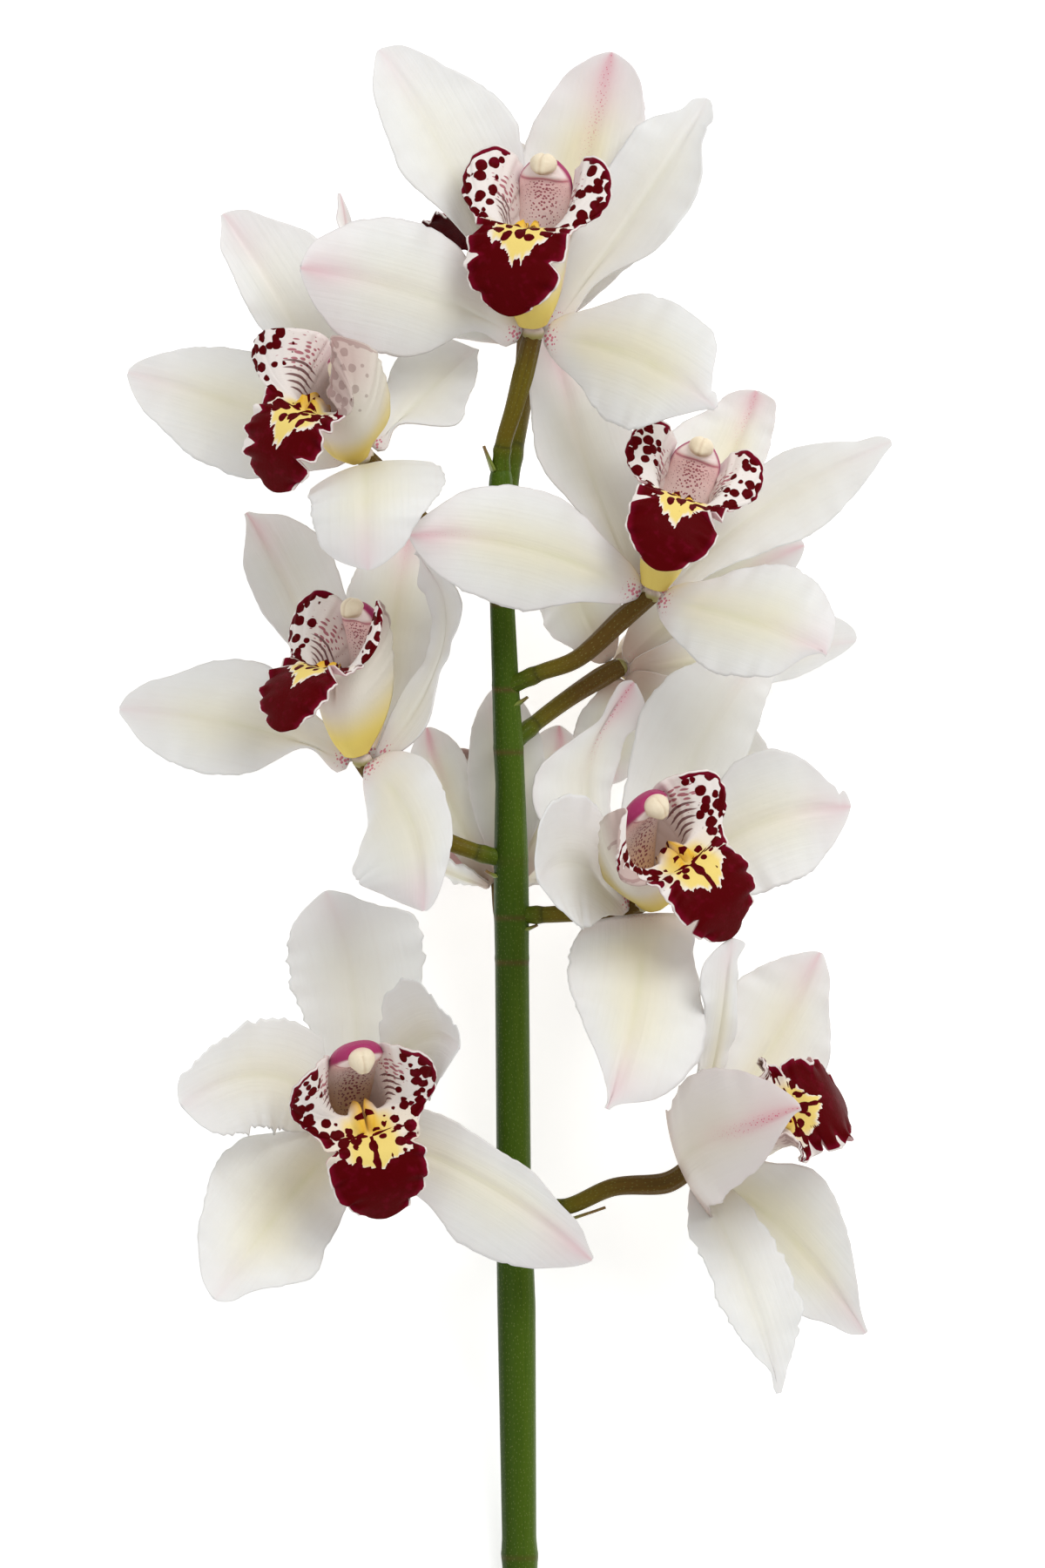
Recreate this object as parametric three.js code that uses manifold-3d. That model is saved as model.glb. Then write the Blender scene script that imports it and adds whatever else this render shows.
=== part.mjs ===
// A cut stem of white cymbidium orchids with ten open blooms, lying on its back.
//
// Every bloom has five tepals (three sepals and two petals) round a small receptacle, a three-lobed
// lip, a column and an anther cap, and hangs on its own pedicel from a node of the main stem. The
// stem lies on three low points: the rim of its cut end and the tips of two tepals behind it.
//
// Growing frame, used for all the numbers below: millimetres, +Y up the stem from the first node,
// +X to the right and +Z to the side that faces up once the stem lies down. The last group turns
// and shifts that frame so that the surface is z = 0 and the origin is under the middle of the part.

import * as THREE from 'three';
import { mergeVertices } from 'three/addons/utils/BufferGeometryUtils.js';
import Module from 'manifold-3d';

const wasm = await Module();
wasm.setup();

// ---------------------------------------------------------------------------- driving dimensions

const GAP = 0.3; // clearance between pieces that touch
const LEAN = THREE.MathUtils.degToRad(14); // how far the stem rises from the surface

const STEM_SIDES = 10;
const STEM = [ // centre x, height y, radius
  [1.4, -12, 4.0],
  [1.4, -1, 3.95],
  [1.3, 3, 4.25],
  [1.2, 7, 3.95],
  [0.6, 60, 4.4],
  [0.1, 79, 4.15],
  [0.0, 83, 4.35],
  [0.0, 88, 3.95],
  [-0.4, 140, 3.9],
  [-0.5, 151, 4.05],
  [-0.6, 163, 3.95],
  [-0.8, 180, 3.4],
  [-1.2, 188, 3.45],
  [-1.9, 203, 3.1],
  [-2.6, 220, 2.85],
  [-3.0, 247, 2.7],
  [-3.0, 252, 3.0],
  [-3.0, 254, 2.6],
];

const TEPAL_THICKNESS = 0.9;
const TEPAL_ACROSS = 4; // facets across and along
const TEPAL_ALONG = 6;
const TEPAL_CLAW = 0.14; // width of the claw as a share of the broadest place
const TEPAL_WIDEST = 0.5; // where along the tepal it is broadest
const TEPAL_SWELL = 1.2; // how slowly the claw broadens
const TEPAL_SHOULDER = [2.5, 0.62]; // how full the outer half is and how blunt it ends
const TIP_HALF = 0.9; // half width left at a tip

const LIP_THICKNESS = 0.9;
const LIP_ACROSS = 6;
const LIP_HINGE = [24.6, 10.7]; // axis and lip-side place about which the mid lobe folds back
const LIP_FOLD_TURN = THREE.MathUtils.degToRad(60); // turn of the mid lobe for a fold of 1 more
const LIP_FOLD_STARTS = 0.68; // share of the midline where the fold starts and where it is whole
const LIP_FOLD_WHOLE = 0.85;

const RECEPTACLE_RADII = [4.3, 2.7]; // across the bloom and along its column
const RECEPTACLE_SIDES = 8;
const RECEPTACLE_ROWS = 4;
const CLAW_START = [3.4, -0.6]; // where a tepal starts: away from the column's line and along it
const PEDICEL_RADII = [2.1, 1.9, 2.0, 2.3, 2.6]; // from the stem to the bloom
const PEDICEL_SIDES = 6;
const PEDICEL_STEPS = 6;

const CAP_RADII = [2.7, 2.2, 2.4]; // to the right, along the column and to the lip's side
const CAP_BEYOND = [1.4, 0.9]; // from the end of the column to the cap's middle, along and lipwards
const CAP_SIDES = 6;
const CAP_ROWS = 4;

// The lip in even steps along its midline. Each row gives three places as [axis, lip side, right]:
// the midline, the point that pulls the sheet outwards, and the margin of the right half.
const LIP_ROWS = [
  { middle: [2, 4.2, 0], pull: [2, 4.8, 2.4], margin: [2.5, 1.5, 3.4] },
  { middle: [6, 6.8, 0], pull: [6, 7.6, 5.6], margin: [8, 0, 5.8] },
  { middle: [11, 8.4, 0], pull: [12, 9.8, 9], margin: [17, -3.5, 7] },
  { middle: [16, 9.3, 0], pull: [18, 10.5, 10.5], margin: [27, -4.6, 7.4] },
  { middle: [19.5, 9.7, 0], pull: [23, 9.8, 10.5], margin: [35.5, -4, 8.2] },
  { middle: [21.5, 9.9, 0], pull: [26.5, 9, 11.5], margin: [40.5, -2, 11.3] },
  { middle: [22.7, 10, 0], pull: [28, 9.5, 13.5], margin: [38.5, 0.5, 15.8] },
  { middle: [23.6, 10.2, 0], pull: [27.5, 10.3, 13.5], margin: [32, 4, 17] },
  { middle: [24.6, 10.7, 0], pull: [26.5, 11, 9.5], margin: [27.5, 8, 13.2] },
  { middle: [26, 12.6, 0], pull: [26.5, 12, 5.5], margin: [26.5, 12, 10.8] },
  { middle: [26, 17.2, 0], pull: [26.5, 16.5, 7], margin: [23.5, 18, 11.6] },
  { middle: [21.5, 22.4, 0], pull: [22, 22.4, 6], margin: [18.5, 23, 9.2] },
  { middle: [14.5, 25.6, 0], pull: [14.5, 25.6, 1], margin: [15, 25.4, 2.2] },
];

const COLUMN_SIDES = 8;
const COLUMN_FLATNESS = 0.7; // half thickness on the lip's side as a share of that on the back

// The column along its middle: axis and lip-side place, half width and half thickness.
const COLUMN_STATIONS = [
  { n: 3.2, d: -1.2, wide: 2.6, thick: 2.0 },
  { n: 10.0, d: -3.2, wide: 3.6, thick: 2.4 },
  { n: 21.0, d: -4.6, wide: 4.3, thick: 2.4 },
  { n: 30.0, d: -4.2, wide: 5.0, thick: 2.6 },
  { n: 36.5, d: -2.2, wide: 4.0, thick: 2.3 },
];

// Each bloom: the middle of its receptacle, the direction of its column, the side its lip hangs on,
// how far the mid lobe folds back (1 is the plain fold), the lip's size, the pedicel's way from the
// stem's middle, and the tepals as middle point, tip, half width, facing direction and curl of the
// two margins (left and right as seen from the facing side with the tip up; plus curls forward).
const UP = [0, 0, 1];
const BLOOMS = [
  {
    name: 'top',
    base: [4.5, 283.4, 6],
    axis: [0.05, 0.97, 0.23],
    lipSide: [-0.29, -0.2, 0.94],
    fold: 1.45,
    size: 1.03,
    pedicel: [[-3, 252, 0], [-2.4, 258, 1], [0, 266, 3.5], [2.2, 274, 5]],
    tepals: [
      { mid: [14.5, 314, -8], tip: [22.6, 348.4, -9], half: 13.5, face: UP, curl: [0.3, 0.3] },
      { mid: [-14.5, 321.5, 3], tip: [-31, 348.6, -2], half: 14.8, face: [0.3, 0.1, 1], curl: [0.2, 0.3] },
      { mid: [30, 314, 0], tip: [44.6, 337.5, -6], half: 13.5, face: [-0.3, 0.1, 1], curl: [0.2, 0.6] },
      { mid: [-22, 292, 20], tip: [-48.6, 297.6, 30], half: 15.5, face: UP, curl: [-0.3, -0.3] },
      { mid: [28, 277.5, 25], tip: [46, 265.6, 32], half: 15.5, face: UP, curl: [-0.3, -0.3] },
    ],
  },
  {
    name: 'top_back',
    base: [3, 284, -30],
    axis: [0.05, 0.93, -0.33],
    lipSide: [-0.91, 0, -0.41],
    fold: 0.35,
    size: 0.96,
    pedicel: [[-1.5, 246, -1], [0.5, 258, -9], [2.2, 269, -19], [2.8, 277, -26]],
    tepals: [
      { mid: [24, 306, -38], tip: [40, 326, -42], half: 13, face: [-0.6, 0.3, 0.5], curl: [0.2, 0.2] },
      { mid: [8, 304, -56], tip: [15, 318, -80], half: 13, face: [-0.2, 0.6, 0.6], curl: [0.2, 0.2] },
      { mid: [1, 310, -24], tip: [-7, 330, -21], half: 10.5, face: [0.3, 0.2, -0.9], curl: [0.2, 0.2] },
      { mid: [-18, 292, -38], tip: [-35, 299, -44], half: 10, face: [0.2, 0.8, -0.3], curl: [0.1, 0.1] },
      { mid: [-18, 292.5, -58], tip: [-38, 297, -80.68], half: 10.5, face: [0, 0.24, 0.97], curl: [0.2, 0.2] },
    ],
  },
  {
    name: 'upper_left',
    base: [-34.4, 255.1, 12],
    axis: [-0.28, 0.68, 0.68],
    lipSide: [-0.62, -0.7, 0.44],
    fold: 0.95,
    size: 0.99,
    pedicel: [[-2.6, 222, 0], [-10, 229, 3.5], [-20, 239, 6.5], [-29, 249.5, 10]],
    tepals: [
      { mid: [-50, 285, 7], tip: [-66.8, 310.8, 1], half: 13, face: [0, 0.2, 1], curl: [0.2, 0.2] },
      { mid: [-36, 288, -3], tip: [-40.2, 316, -12], half: 10, face: [1, 0.1, 0.25], curl: [0.1, 0.1] },
      { mid: [-19, 270.5, 3], tip: [-8.6, 280, -13], half: 14, face: [-0.2, 0.2, 1], curl: [0.1, 0.4] },
      { mid: [-61, 266.5, -1], tip: [-88.8, 274.6, -8], half: 14, face: [0, 0.1, 1], curl: [0.2, 0.2] },
      { mid: [-30, 249, 44], tip: [-33, 228.6, 49], half: 14.5, face: [-0.1, 0.5, 1], curl: [-0.3, -0.5] },
    ],
  },
  {
    name: 'upper_right',
    base: [31.4, 223.4, 8],
    axis: [0.32, 0.94, 0.13],
    lipSide: [-0.07, -0.11, 0.99],
    fold: 1.34,
    size: 0.94,
    pedicel: [[-2.2, 202, 0], [6, 205.5, 3.5], [15, 209, 6], [25, 218, 7.5]],
    tepals: [
      { mid: [48, 251, -15], tip: [56, 270.8, -22], half: 13, face: [0, 0.2, 1], curl: [0.2, 0.2] },
      { mid: [17, 253, -1], tip: [8.6, 283, -12], half: 13.5, face: [0.2, 0.1, 1], curl: [0.3, 0.1] },
      { mid: [57, 243, -3], tip: [86.8, 258.6, -3], half: 12.5, face: [-0.1, 0.3, 1], curl: [0.2, 0.2] },
      { mid: [3, 234, 30], tip: [-23.8, 236.6, 40], half: 15, face: UP, curl: [-0.3, -0.3] },
      { mid: [53, 217.5, 30], tip: [71.2, 209.4, 36], half: 13.5, face: [0, 0.2, 1], curl: [-0.3, -0.3] },
    ],
  },
  {
    name: 'right_back',
    base: [24.4, 207, -17],
    axis: [0.45, 0.3, -0.84],
    lipSide: [0.65, -0.75, 0.08],
    fold: 1,
    size: 0.82,
    pedicel: [[-1.6, 188, -1], [5, 194, -6], [13, 200, -11], [20, 204.5, -15]],
    tepals: [
      { mid: [52, 210, -29], tip: [79.6, 213.4, -59.55], half: 11, face: [-0.3, 0.5, -0.8], curl: [0.1, 0.1] },
      { mid: [45, 224, -27], tip: [67.2, 235.4, -38], half: 11.5, face: [0.3, 0.4, -0.8], curl: [0.2, 0.2] },
      { mid: [15, 225, -30], tip: [12, 241, -46], half: 12, face: [0.4, 0, -0.9], curl: [0.2, 0.2] },
      { mid: [43, 192, -20], tip: [57, 178, -31], half: 11, face: [0.4, 0.3, -0.9], curl: [0.1, 0.1] },
      { mid: [23, 192, -27], tip: [22, 180, -40], half: 9, face: [0, 0.4, -0.8], curl: [0.1, 0.1] },
    ],
  },
  {
    name: 'middle_left',
    base: [-34.7, 185.4, 10],
    axis: [-0.08, 0.96, 0.25],
    lipSide: [-0.7, -0.24, 0.67],
    fold: 1,
    size: 0.94,
    pedicel: [[-0.6, 162.5, 0], [-9, 164.5, 1.5], [-19, 169, 3], [-30, 179.5, 7.5]],
    tepals: [
      { mid: [-49, 219, -3], tip: [-61.6, 242.4, -12], half: 13.5, face: [0.1, 0.2, 1], curl: [0.2, 0.2] },
      { mid: [-28, 215, -8], tip: [-24, 240, -18], half: 12, face: UP, curl: [0.2, 0.2] },
      { mid: [-16, 212, 20], tip: [-22.4, 233, 15], half: 9, face: [-0.9, 0, 0.7], curl: [0.3, 0.3] },
      { mid: [-63, 193.5, 5], tip: [-90.6, 197, -3], half: 14, face: [0, 0.1, 1], curl: [0.2, 0.2] },
      { mid: [-23, 171, 36], tip: [-20.4, 151.2, 42], half: 13.5, face: [-0.3, 0.3, 1], curl: [-0.2, -0.7] },
    ],
  },
  {
    name: 'middle_right',
    base: [29.7, 153, 5],
    axis: [0.1, 0.6, 0.78],
    lipSide: [0.7, -0.62, 0.37],
    fold: 1,
    size: 1,
    pedicel: [[-0.5, 150, 0], [7, 150, 1.5], [16, 150.5, 2], [24, 150.5, 3]],
    tepals: [
      { mid: [14.2, 178, -2], tip: [26.6, 203.2, -7], half: 10.5, face: [0.2, 0, 1], curl: [0.2, 0.2] },
      { mid: [14.5, 162, 24], tip: [5.5, 158, 42], half: 15.5, face: [0.75, 0.1, 0.45], curl: [0.2, 0.2] },
      { mid: [43, 189, -5], tip: [58, 210, -10], half: 15.5, face: UP, curl: [0.2, 0.2] },
      { mid: [54, 170, 3], tip: [77.4, 174.8, -6], half: 15.5, face: UP, curl: [0.2, 0.2] },
      { mid: [28, 130, 27], tip: [21.2, 106.2, 38], half: 16, face: UP, curl: [-0.2, -0.2] },
    ],
  },
  {
    name: 'stem_back',
    base: [-3, 157, -18],
    axis: [-0.1, 0.9, -0.42],
    lipSide: [-0.66, -0.3, -0.68],
    fold: 1,
    size: 0.78,
    pedicel: [[-0.4, 139, -1], [-0.8, 142, -6.5], [-1.6, 146, -11], [-2.4, 151, -15]],
    tepals: [
      { mid: [-1.5, 180, -14], tip: [-3.6, 202.5, -19], half: 9, face: [0, 0.2, -0.9], curl: [0.1, 0.1] },
      { mid: [-15, 177, -20], tip: [-20, 193, -23], half: 7.5, face: [0.2, 0.2, -0.9], curl: [0.1, 0.1] },
      { mid: [8, 177, -20], tip: [10.4, 193.4, -26], half: 9, face: [-0.3, 0.3, -0.9], curl: [0.2, 0.2] },
      { mid: [-15, 160, -19], tip: [-26, 164, -22], half: 8, face: [0.2, 0.9, -0.3], curl: [0.1, 0.1] },
      { mid: [1.5, 158, -31], tip: [5, 161, -42], half: 8.5, face: [-0.1, 0.9, 0.3], curl: [0.1, 0.1] },
    ],
  },
  {
    name: 'lower_left',
    base: [-37.5, 101.2, 8],
    axis: [0.07, 0.35, 0.93],
    lipSide: [0.26, -0.91, 0.32],
    fold: 0.92,
    size: 1.01,
    pedicel: [[0, 81, 0], [-10, 83.5, -0.5], [-22, 89.5, -1], [-33, 97.5, 1.5]],
    tepals: [
      { mid: [-36.5, 131, 8], tip: [-39.6, 154.8, 13], half: 16, face: UP, curl: [0.2, 0.2] },
      { mid: [-56, 113.5, 20], tip: [-75.8, 107, 36], half: 14, face: [0.4, 0.1, 1], curl: [0.2, 0.2] },
      { mid: [-22, 119, 22], tip: [-13.5, 126.5, 42], half: 13, face: [-0.7, 0, 0.8], curl: [0.7, 0.2] },
      { mid: [-53.5, 82.5, 20], tip: [-68, 62.6, 32], half: 15.5, face: [0.1, 0.2, 1], curl: [0.2, 0.2] },
      { mid: [-8, 90, 22], tip: [17.8, 71.2, 15], half: 13, face: [0.1, 0.1, 1], curl: [0.3, -0.4] },
    ],
  },
  {
    name: 'lower_right',
    base: [41.6, 93.1, 4],
    axis: [0.48, 0.35, 0.81],
    lipSide: [0.79, 0.23, -0.57],
    fold: 0.62,
    size: 1.02,
    pedicel: [[0.2, 82.5, 0], [12, 83, 1], [23, 87.5, 2], [35, 88.5, 2]],
    tepals: [
      { mid: [43.5, 98, 33], tip: [65, 106.6, 52], half: 17, face: [0.6, 0.1, -0.8], curl: [0.3, 0.3] },
      { mid: [46, 120, 15], tip: [50, 144.6, 24], half: 11, face: [0.93, -0.1, 0.37], curl: [0.1, 0.1] },
      { mid: [59, 119, -7], tip: [70.6, 141.2, -12], half: 13.5, face: UP, curl: [0.2, 0.2] },
      { mid: [49, 66, 17], tip: [60.6, 40.8, 24], half: 10.5, face: [0.4, 0.2, 0.9], curl: [0.2, 0.2] },
      { mid: [63.5, 76, -4], tip: [81, 53.6, -10], half: 12.5, face: [0, 0, 1], curl: [0.2, 0.2] },
    ],
  },
];

// Bracts left on the stem under the pedicels: height of the foot, direction round the stem, and how
// far the tip reaches out from the foot and up.
const BRACT_THICKNESS = 0.8;
const BRACT_HALF = 2.2;
const BRACT_SUNK = 1.2; // depth of the foot inside the stem
const BRACT_TAPER = 0.8; // how the width falls towards the tip (1 is straight)
const BRACT_FACETS = 2;
const BRACTS = [
  { y: 76.5, side: [1, 0, 0.1], reach: [18, 6.3] },
  { y: 146, side: [1, 0, 0.2], reach: [3.2, 1.6] },
  { y: 158, side: [-1, 0, 0.2], reach: [3.2, 2] },
  { y: 197.5, side: [1, 0, 0.3], reach: [3, 2.4] },
  { y: 251.5, side: [-1, 0, 0.2], reach: [2.2, 6] },
];

const FINISH = {
  stem: { color: '#3f7016', roughness: 0.42 },
  pedicel: { color: '#6a5a22', roughness: 0.45 },
  tepal: { color: '#efeee8', roughness: 0.5 },
  lip: { color: '#8c1230', roughness: 0.45 },
  column: { color: '#c86a8c', roughness: 0.45 },
  cap: { color: '#efe3b8', roughness: 0.5 },
};

// ---------------------------------------------------------------------------------- small maths

const vector = (p) => new THREE.Vector3(p[0], p[1], p[2]);

// A smooth place between evenly spaced rows, with the slopes of a Catmull-Rom curve.
function between(rows, key, t) {
  const last = rows.length - 1;
  const i = Math.min(Math.floor(t * last), last - 1);
  const u = t * last - i;
  const row = (j) => rows[Math.min(Math.max(j, 0), last)][key];
  return row(i).map((p1, axis) => {
    const [p0, p2, p3] = [row(i - 1)[axis], row(i + 1)[axis], row(i + 2)[axis]];
    const bend = 2 * p0 - 5 * p1 + 4 * p2 - p3 + (3 * p1 - p0 - 3 * p2 + p3) * u;
    return p1 + 0.5 * u * (p2 - p0 + u * bend);
  });
}

// Across a sheet whose half has curled by an angle: sideways and forward place on the arc.
function arc(half, curl, s) {
  const angle = Math.abs(curl) < 0.01 ? 0.01 : curl;
  const turned = angle * Math.abs(s);
  return [(Math.sign(s) * half * Math.sin(turned)) / angle, (half * (1 - Math.cos(turned))) / angle];
}

// -------------------------------------------------------------------------------- closed solids

// A closed geometry from vertices and triangles, turned so that its faces point out.
function closedGeometry(points, triangles) {
  let volume = 0;
  for (const [i, j, k] of triangles) volume += points[i].dot(points[j].clone().cross(points[k]));
  const indices = volume > 0 ? triangles.flat() : triangles.map(([i, j, k]) => [i, k, j]).flat();
  const geometry = new THREE.BufferGeometry();
  const positions = points.flatMap((p) => [p.x, p.y, p.z]);
  geometry.setAttribute('position', new THREE.Float32BufferAttribute(positions, 3));
  geometry.setIndex(indices);
  return geometry;
}

// A blade of even thickness round a surface given as a function of s (-1 to 1) and t (0 to 1),
// split alike on both faces. A blade that is grown gives the room it needs round itself.
function blade(surface, across, along, thickness, grow = 0) {
  const step = 0.01;
  const faces = [[], []];
  for (let j = 0; j <= along; j += 1) {
    for (let i = 0; i <= across; i += 1) {
      const s = (2 * i) / across - 1;
      const t = j / along;
      const inS = Math.min(Math.max(s, -1 + step), 1 - step);
      const inT = Math.min(Math.max(t, step), 1 - step);
      const alongS = surface(inS + step, inT).sub(surface(inS - step, inT)).normalize();
      const alongT = surface(inS, inT + step).sub(surface(inS, inT - step)).normalize();
      const middle = surface(s, t);
      if (Math.abs(s) === 1) middle.addScaledVector(alongS, s * grow);
      if (t === 0 || t === 1) middle.addScaledVector(alongT, (2 * t - 1) * grow);
      const normal = alongS.cross(alongT).setLength(thickness / 2 + grow);
      faces[0].push(middle.clone().add(normal));
      faces[1].push(middle.clone().sub(normal));
    }
  }
  const columns = across + 1;
  const count = columns * (along + 1);
  const triangles = [];
  for (let j = 0; j < along; j += 1) {
    for (let i = 0; i < across; i += 1) {
      const a = j * columns + i;
      const b = a + 1;
      const c = a + columns;
      const d = c + 1;
      triangles.push([a, b, d], [a, d, c]);
      triangles.push([count + a, count + d, count + b], [count + a, count + c, count + d]);
    }
  }
  const rim = [];
  for (let i = 0; i < across; i += 1) rim.push(i);
  for (let j = 0; j < along; j += 1) rim.push(j * columns + across);
  for (let i = across; i > 0; i -= 1) rim.push(along * columns + i);
  for (let j = along; j > 0; j -= 1) rim.push(j * columns);
  rim.forEach((a, k) => {
    const b = rim[(k + 1) % rim.length];
    triangles.push([a, count + b, b], [a, count + a, count + b]);
  });
  return closedGeometry([...faces[0], ...faces[1]], triangles);
}

// A closed skin over rings of points, one ring after the other, with a flat cap at each end.
function skin(rings) {
  const sides = rings[0].length;
  const points = rings.flat();
  const triangles = [];
  for (let j = 0; j + 1 < rings.length; j += 1) {
    for (let i = 0; i < sides; i += 1) {
      const a = j * sides + i;
      const b = j * sides + ((i + 1) % sides);
      triangles.push([a, b, b + sides], [a, b + sides, a + sides]);
    }
  }
  for (const [ring, flip] of [[0, true], [rings.length - 1, false]]) {
    const centre = rings[ring].reduce((sum, p) => sum.add(p), new THREE.Vector3()).divideScalar(sides);
    points.push(centre);
    for (let i = 0; i < sides; i += 1) {
      const a = ring * sides + i;
      const b = ring * sides + ((i + 1) % sides);
      triangles.push(flip ? [b, a, points.length - 1] : [a, b, points.length - 1]);
    }
  }
  return closedGeometry(points, triangles);
}

// A round tube through points with a radius at each, along a smooth curve.
function tube(points, radii, sides, steps) {
  const curve = new THREE.CatmullRomCurve3(points, false, 'centripetal');
  const frames = curve.computeFrenetFrames(steps, false);
  const rings = [];
  for (let j = 0; j <= steps; j += 1) {
    const along = (j / steps) * (radii.length - 1);
    const k = Math.min(Math.floor(along), radii.length - 2);
    const radius = THREE.MathUtils.lerp(radii[k], radii[k + 1], along - k);
    const centre = curve.getPointAt(j / steps);
    const ring = [];
    for (let i = 0; i < sides; i += 1) {
      const turn = (2 * Math.PI * i) / sides;
      const out = frames.normals[j].clone().multiplyScalar(Math.cos(turn));
      out.addScaledVector(frames.binormals[j], Math.sin(turn));
      ring.push(centre.clone().addScaledVector(out, radius));
    }
    rings.push(ring);
  }
  return skin(rings);
}

function toManifold(geometry) {
  const bare = geometry.clone();
  bare.deleteAttribute('normal');
  bare.deleteAttribute('uv');
  const merged = mergeVertices(bare, 1e-4);
  const mesh = new wasm.Mesh({
    numProp: 3,
    vertProperties: new Float32Array(merged.attributes.position.array),
    triVerts: new Uint32Array(merged.index.array),
  });
  return new wasm.Manifold(mesh);
}

function toGeometry(manifold) {
  const mesh = manifold.getMesh();
  const geometry = new THREE.BufferGeometry();
  geometry.setAttribute('position', new THREE.Float32BufferAttribute(mesh.vertProperties, 3));
  geometry.setIndex(new THREE.Uint32BufferAttribute(mesh.triVerts, 1));
  return geometry;
}

// The largest body of a solid: a loose scrap left by a cut is dropped.
function largest(manifold) {
  const bodies = manifold.decompose();
  return bodies.reduce((best, body) => (body.volume() > best.volume() ? body : best));
}

// -------------------------------------------------------------------------------- flower pieces

// The three directions of a bloom at right angles: along its column, to its lip side, to its right.
function bloomFrame(bloom) {
  const n = vector(bloom.axis).normalize();
  const d = vector(bloom.lipSide);
  d.addScaledVector(n, -d.dot(n)).normalize();
  const r = n.clone().cross(d);
  const place = (along, lipwards, right) => vector(bloom.base)
    .addScaledVector(n, along * bloom.size)
    .addScaledVector(d, lipwards * bloom.size)
    .addScaledVector(r, right * bloom.size);
  return { n, d, r, place };
}

// Half width of a tepal at t: a claw, a broad middle and a blunt tip.
function tepalHalf(tepal, t) {
  if (t < TEPAL_WIDEST) {
    const swell = Math.sin((Math.PI / 2) * (t / TEPAL_WIDEST)) ** TEPAL_SWELL;
    return tepal.half * (TEPAL_CLAW + (1 - TEPAL_CLAW) * swell);
  }
  const u = (t - TEPAL_WIDEST) / (1 - TEPAL_WIDEST);
  const [full, blunt] = TEPAL_SHOULDER;
  return Math.max(TIP_HALF, tepal.half * (1 - u ** full) ** blunt);
}

// The surface of a tepal: a parabola through its claw, middle and tip carries arcs that face one way.
function tepalSurface(bloom, tepal) {
  const mid = vector(tepal.mid);
  const tip = vector(tepal.tip);
  const face = vector(tepal.face).normalize();
  const { n, place } = bloomFrame(bloom);
  const [clawOut, clawAlong] = CLAW_START;
  const outwards = mid.clone().sub(vector(bloom.base));
  outwards.addScaledVector(n, -outwards.dot(n)).setLength(clawOut * bloom.size);
  const start = place(clawAlong, 0, 0).add(outwards);
  return (s, t) => {
    const p = start.clone().multiplyScalar((2 * t - 1) * (t - 1));
    p.addScaledVector(mid, 4 * t * (1 - t)).addScaledVector(tip, t * (2 * t - 1));
    const tangent = start.clone().multiplyScalar(4 * t - 3);
    tangent.addScaledVector(mid, 4 - 8 * t).addScaledVector(tip, 4 * t - 1).normalize();
    const side = tangent.clone().cross(face).normalize();
    const normal = side.clone().cross(tangent);
    const [across, forward] = arc(tepalHalf(tepal, t), tepal.curl[s < 0 ? 0 : 1], s);
    return p.addScaledVector(side, across).addScaledVector(normal, forward);
  };
}

// The surface of a lip: an open trough round the column whose margins lead forward as two side
// lobes, a waist, and a mid lobe folded back about the hinge. Each half is a quadratic curve from
// the midline to the margin.
function lipSurface(bloom) {
  const { place } = bloomFrame(bloom);
  const turn = (bloom.fold - 1) * LIP_FOLD_TURN;
  const [hingeN, hingeD] = LIP_HINGE;
  return (s, t) => {
    const u = Math.abs(s);
    const weights = [(1 - u) * (1 - u), 2 * u * (1 - u), u * u];
    const places = ['middle', 'pull', 'margin'].map((key) => between(LIP_ROWS, key, t));
    const [n, d, r] = [0, 1, 2].map((axis) => (
      weights.reduce((sum, weight, k) => sum + weight * places[k][axis], 0)
    ));
    const angle = turn * THREE.MathUtils.smoothstep(t, LIP_FOLD_STARTS, LIP_FOLD_WHOLE);
    const foldedN = hingeN + (n - hingeN) * Math.cos(angle) - (d - hingeD) * Math.sin(angle);
    const foldedD = hingeD + (n - hingeN) * Math.sin(angle) + (d - hingeD) * Math.cos(angle);
    return place(foldedN, foldedD, Math.sign(s) * r);
  };
}

// A column: oval rings along a gently arched middle, flat on the lip side.
function columnRings(bloom, grow) {
  const { place } = bloomFrame(bloom);
  return COLUMN_STATIONS.map(({ n, d, wide, thick }, k) => {
    const before = COLUMN_STATIONS[Math.max(k - 1, 0)];
    const after = COLUMN_STATIONS[Math.min(k + 1, COLUMN_STATIONS.length - 1)];
    const length = Math.hypot(after.n - before.n, after.d - before.d);
    const tn = (after.n - before.n) / length;
    const td = (after.d - before.d) / length;
    const ring = [];
    for (let i = 0; i < COLUMN_SIDES; i += 1) {
      const turn = (2 * Math.PI * (i + 0.5)) / COLUMN_SIDES;
      const across = (wide + grow) * Math.cos(turn);
      const rise = (thick + grow) * Math.sin(turn) * (Math.sin(turn) > 0 ? COLUMN_FLATNESS : 1);
      ring.push(place(n - td * rise, d + tn * rise, across));
    }
    return ring;
  });
}

// An oval ball in the directions of a bloom, with its radii to the right, along and lipwards.
function oval(bloom, centre, radii, sides, rows) {
  const { n, d, r } = bloomFrame(bloom);
  const directions = [r, n, d].map((axis, k) => axis.multiplyScalar(radii[k] * bloom.size));
  const geometry = new THREE.SphereGeometry(1, sides, rows);
  geometry.applyMatrix4(new THREE.Matrix4().makeBasis(...directions).setPosition(centre));
  return toManifold(geometry);
}

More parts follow.
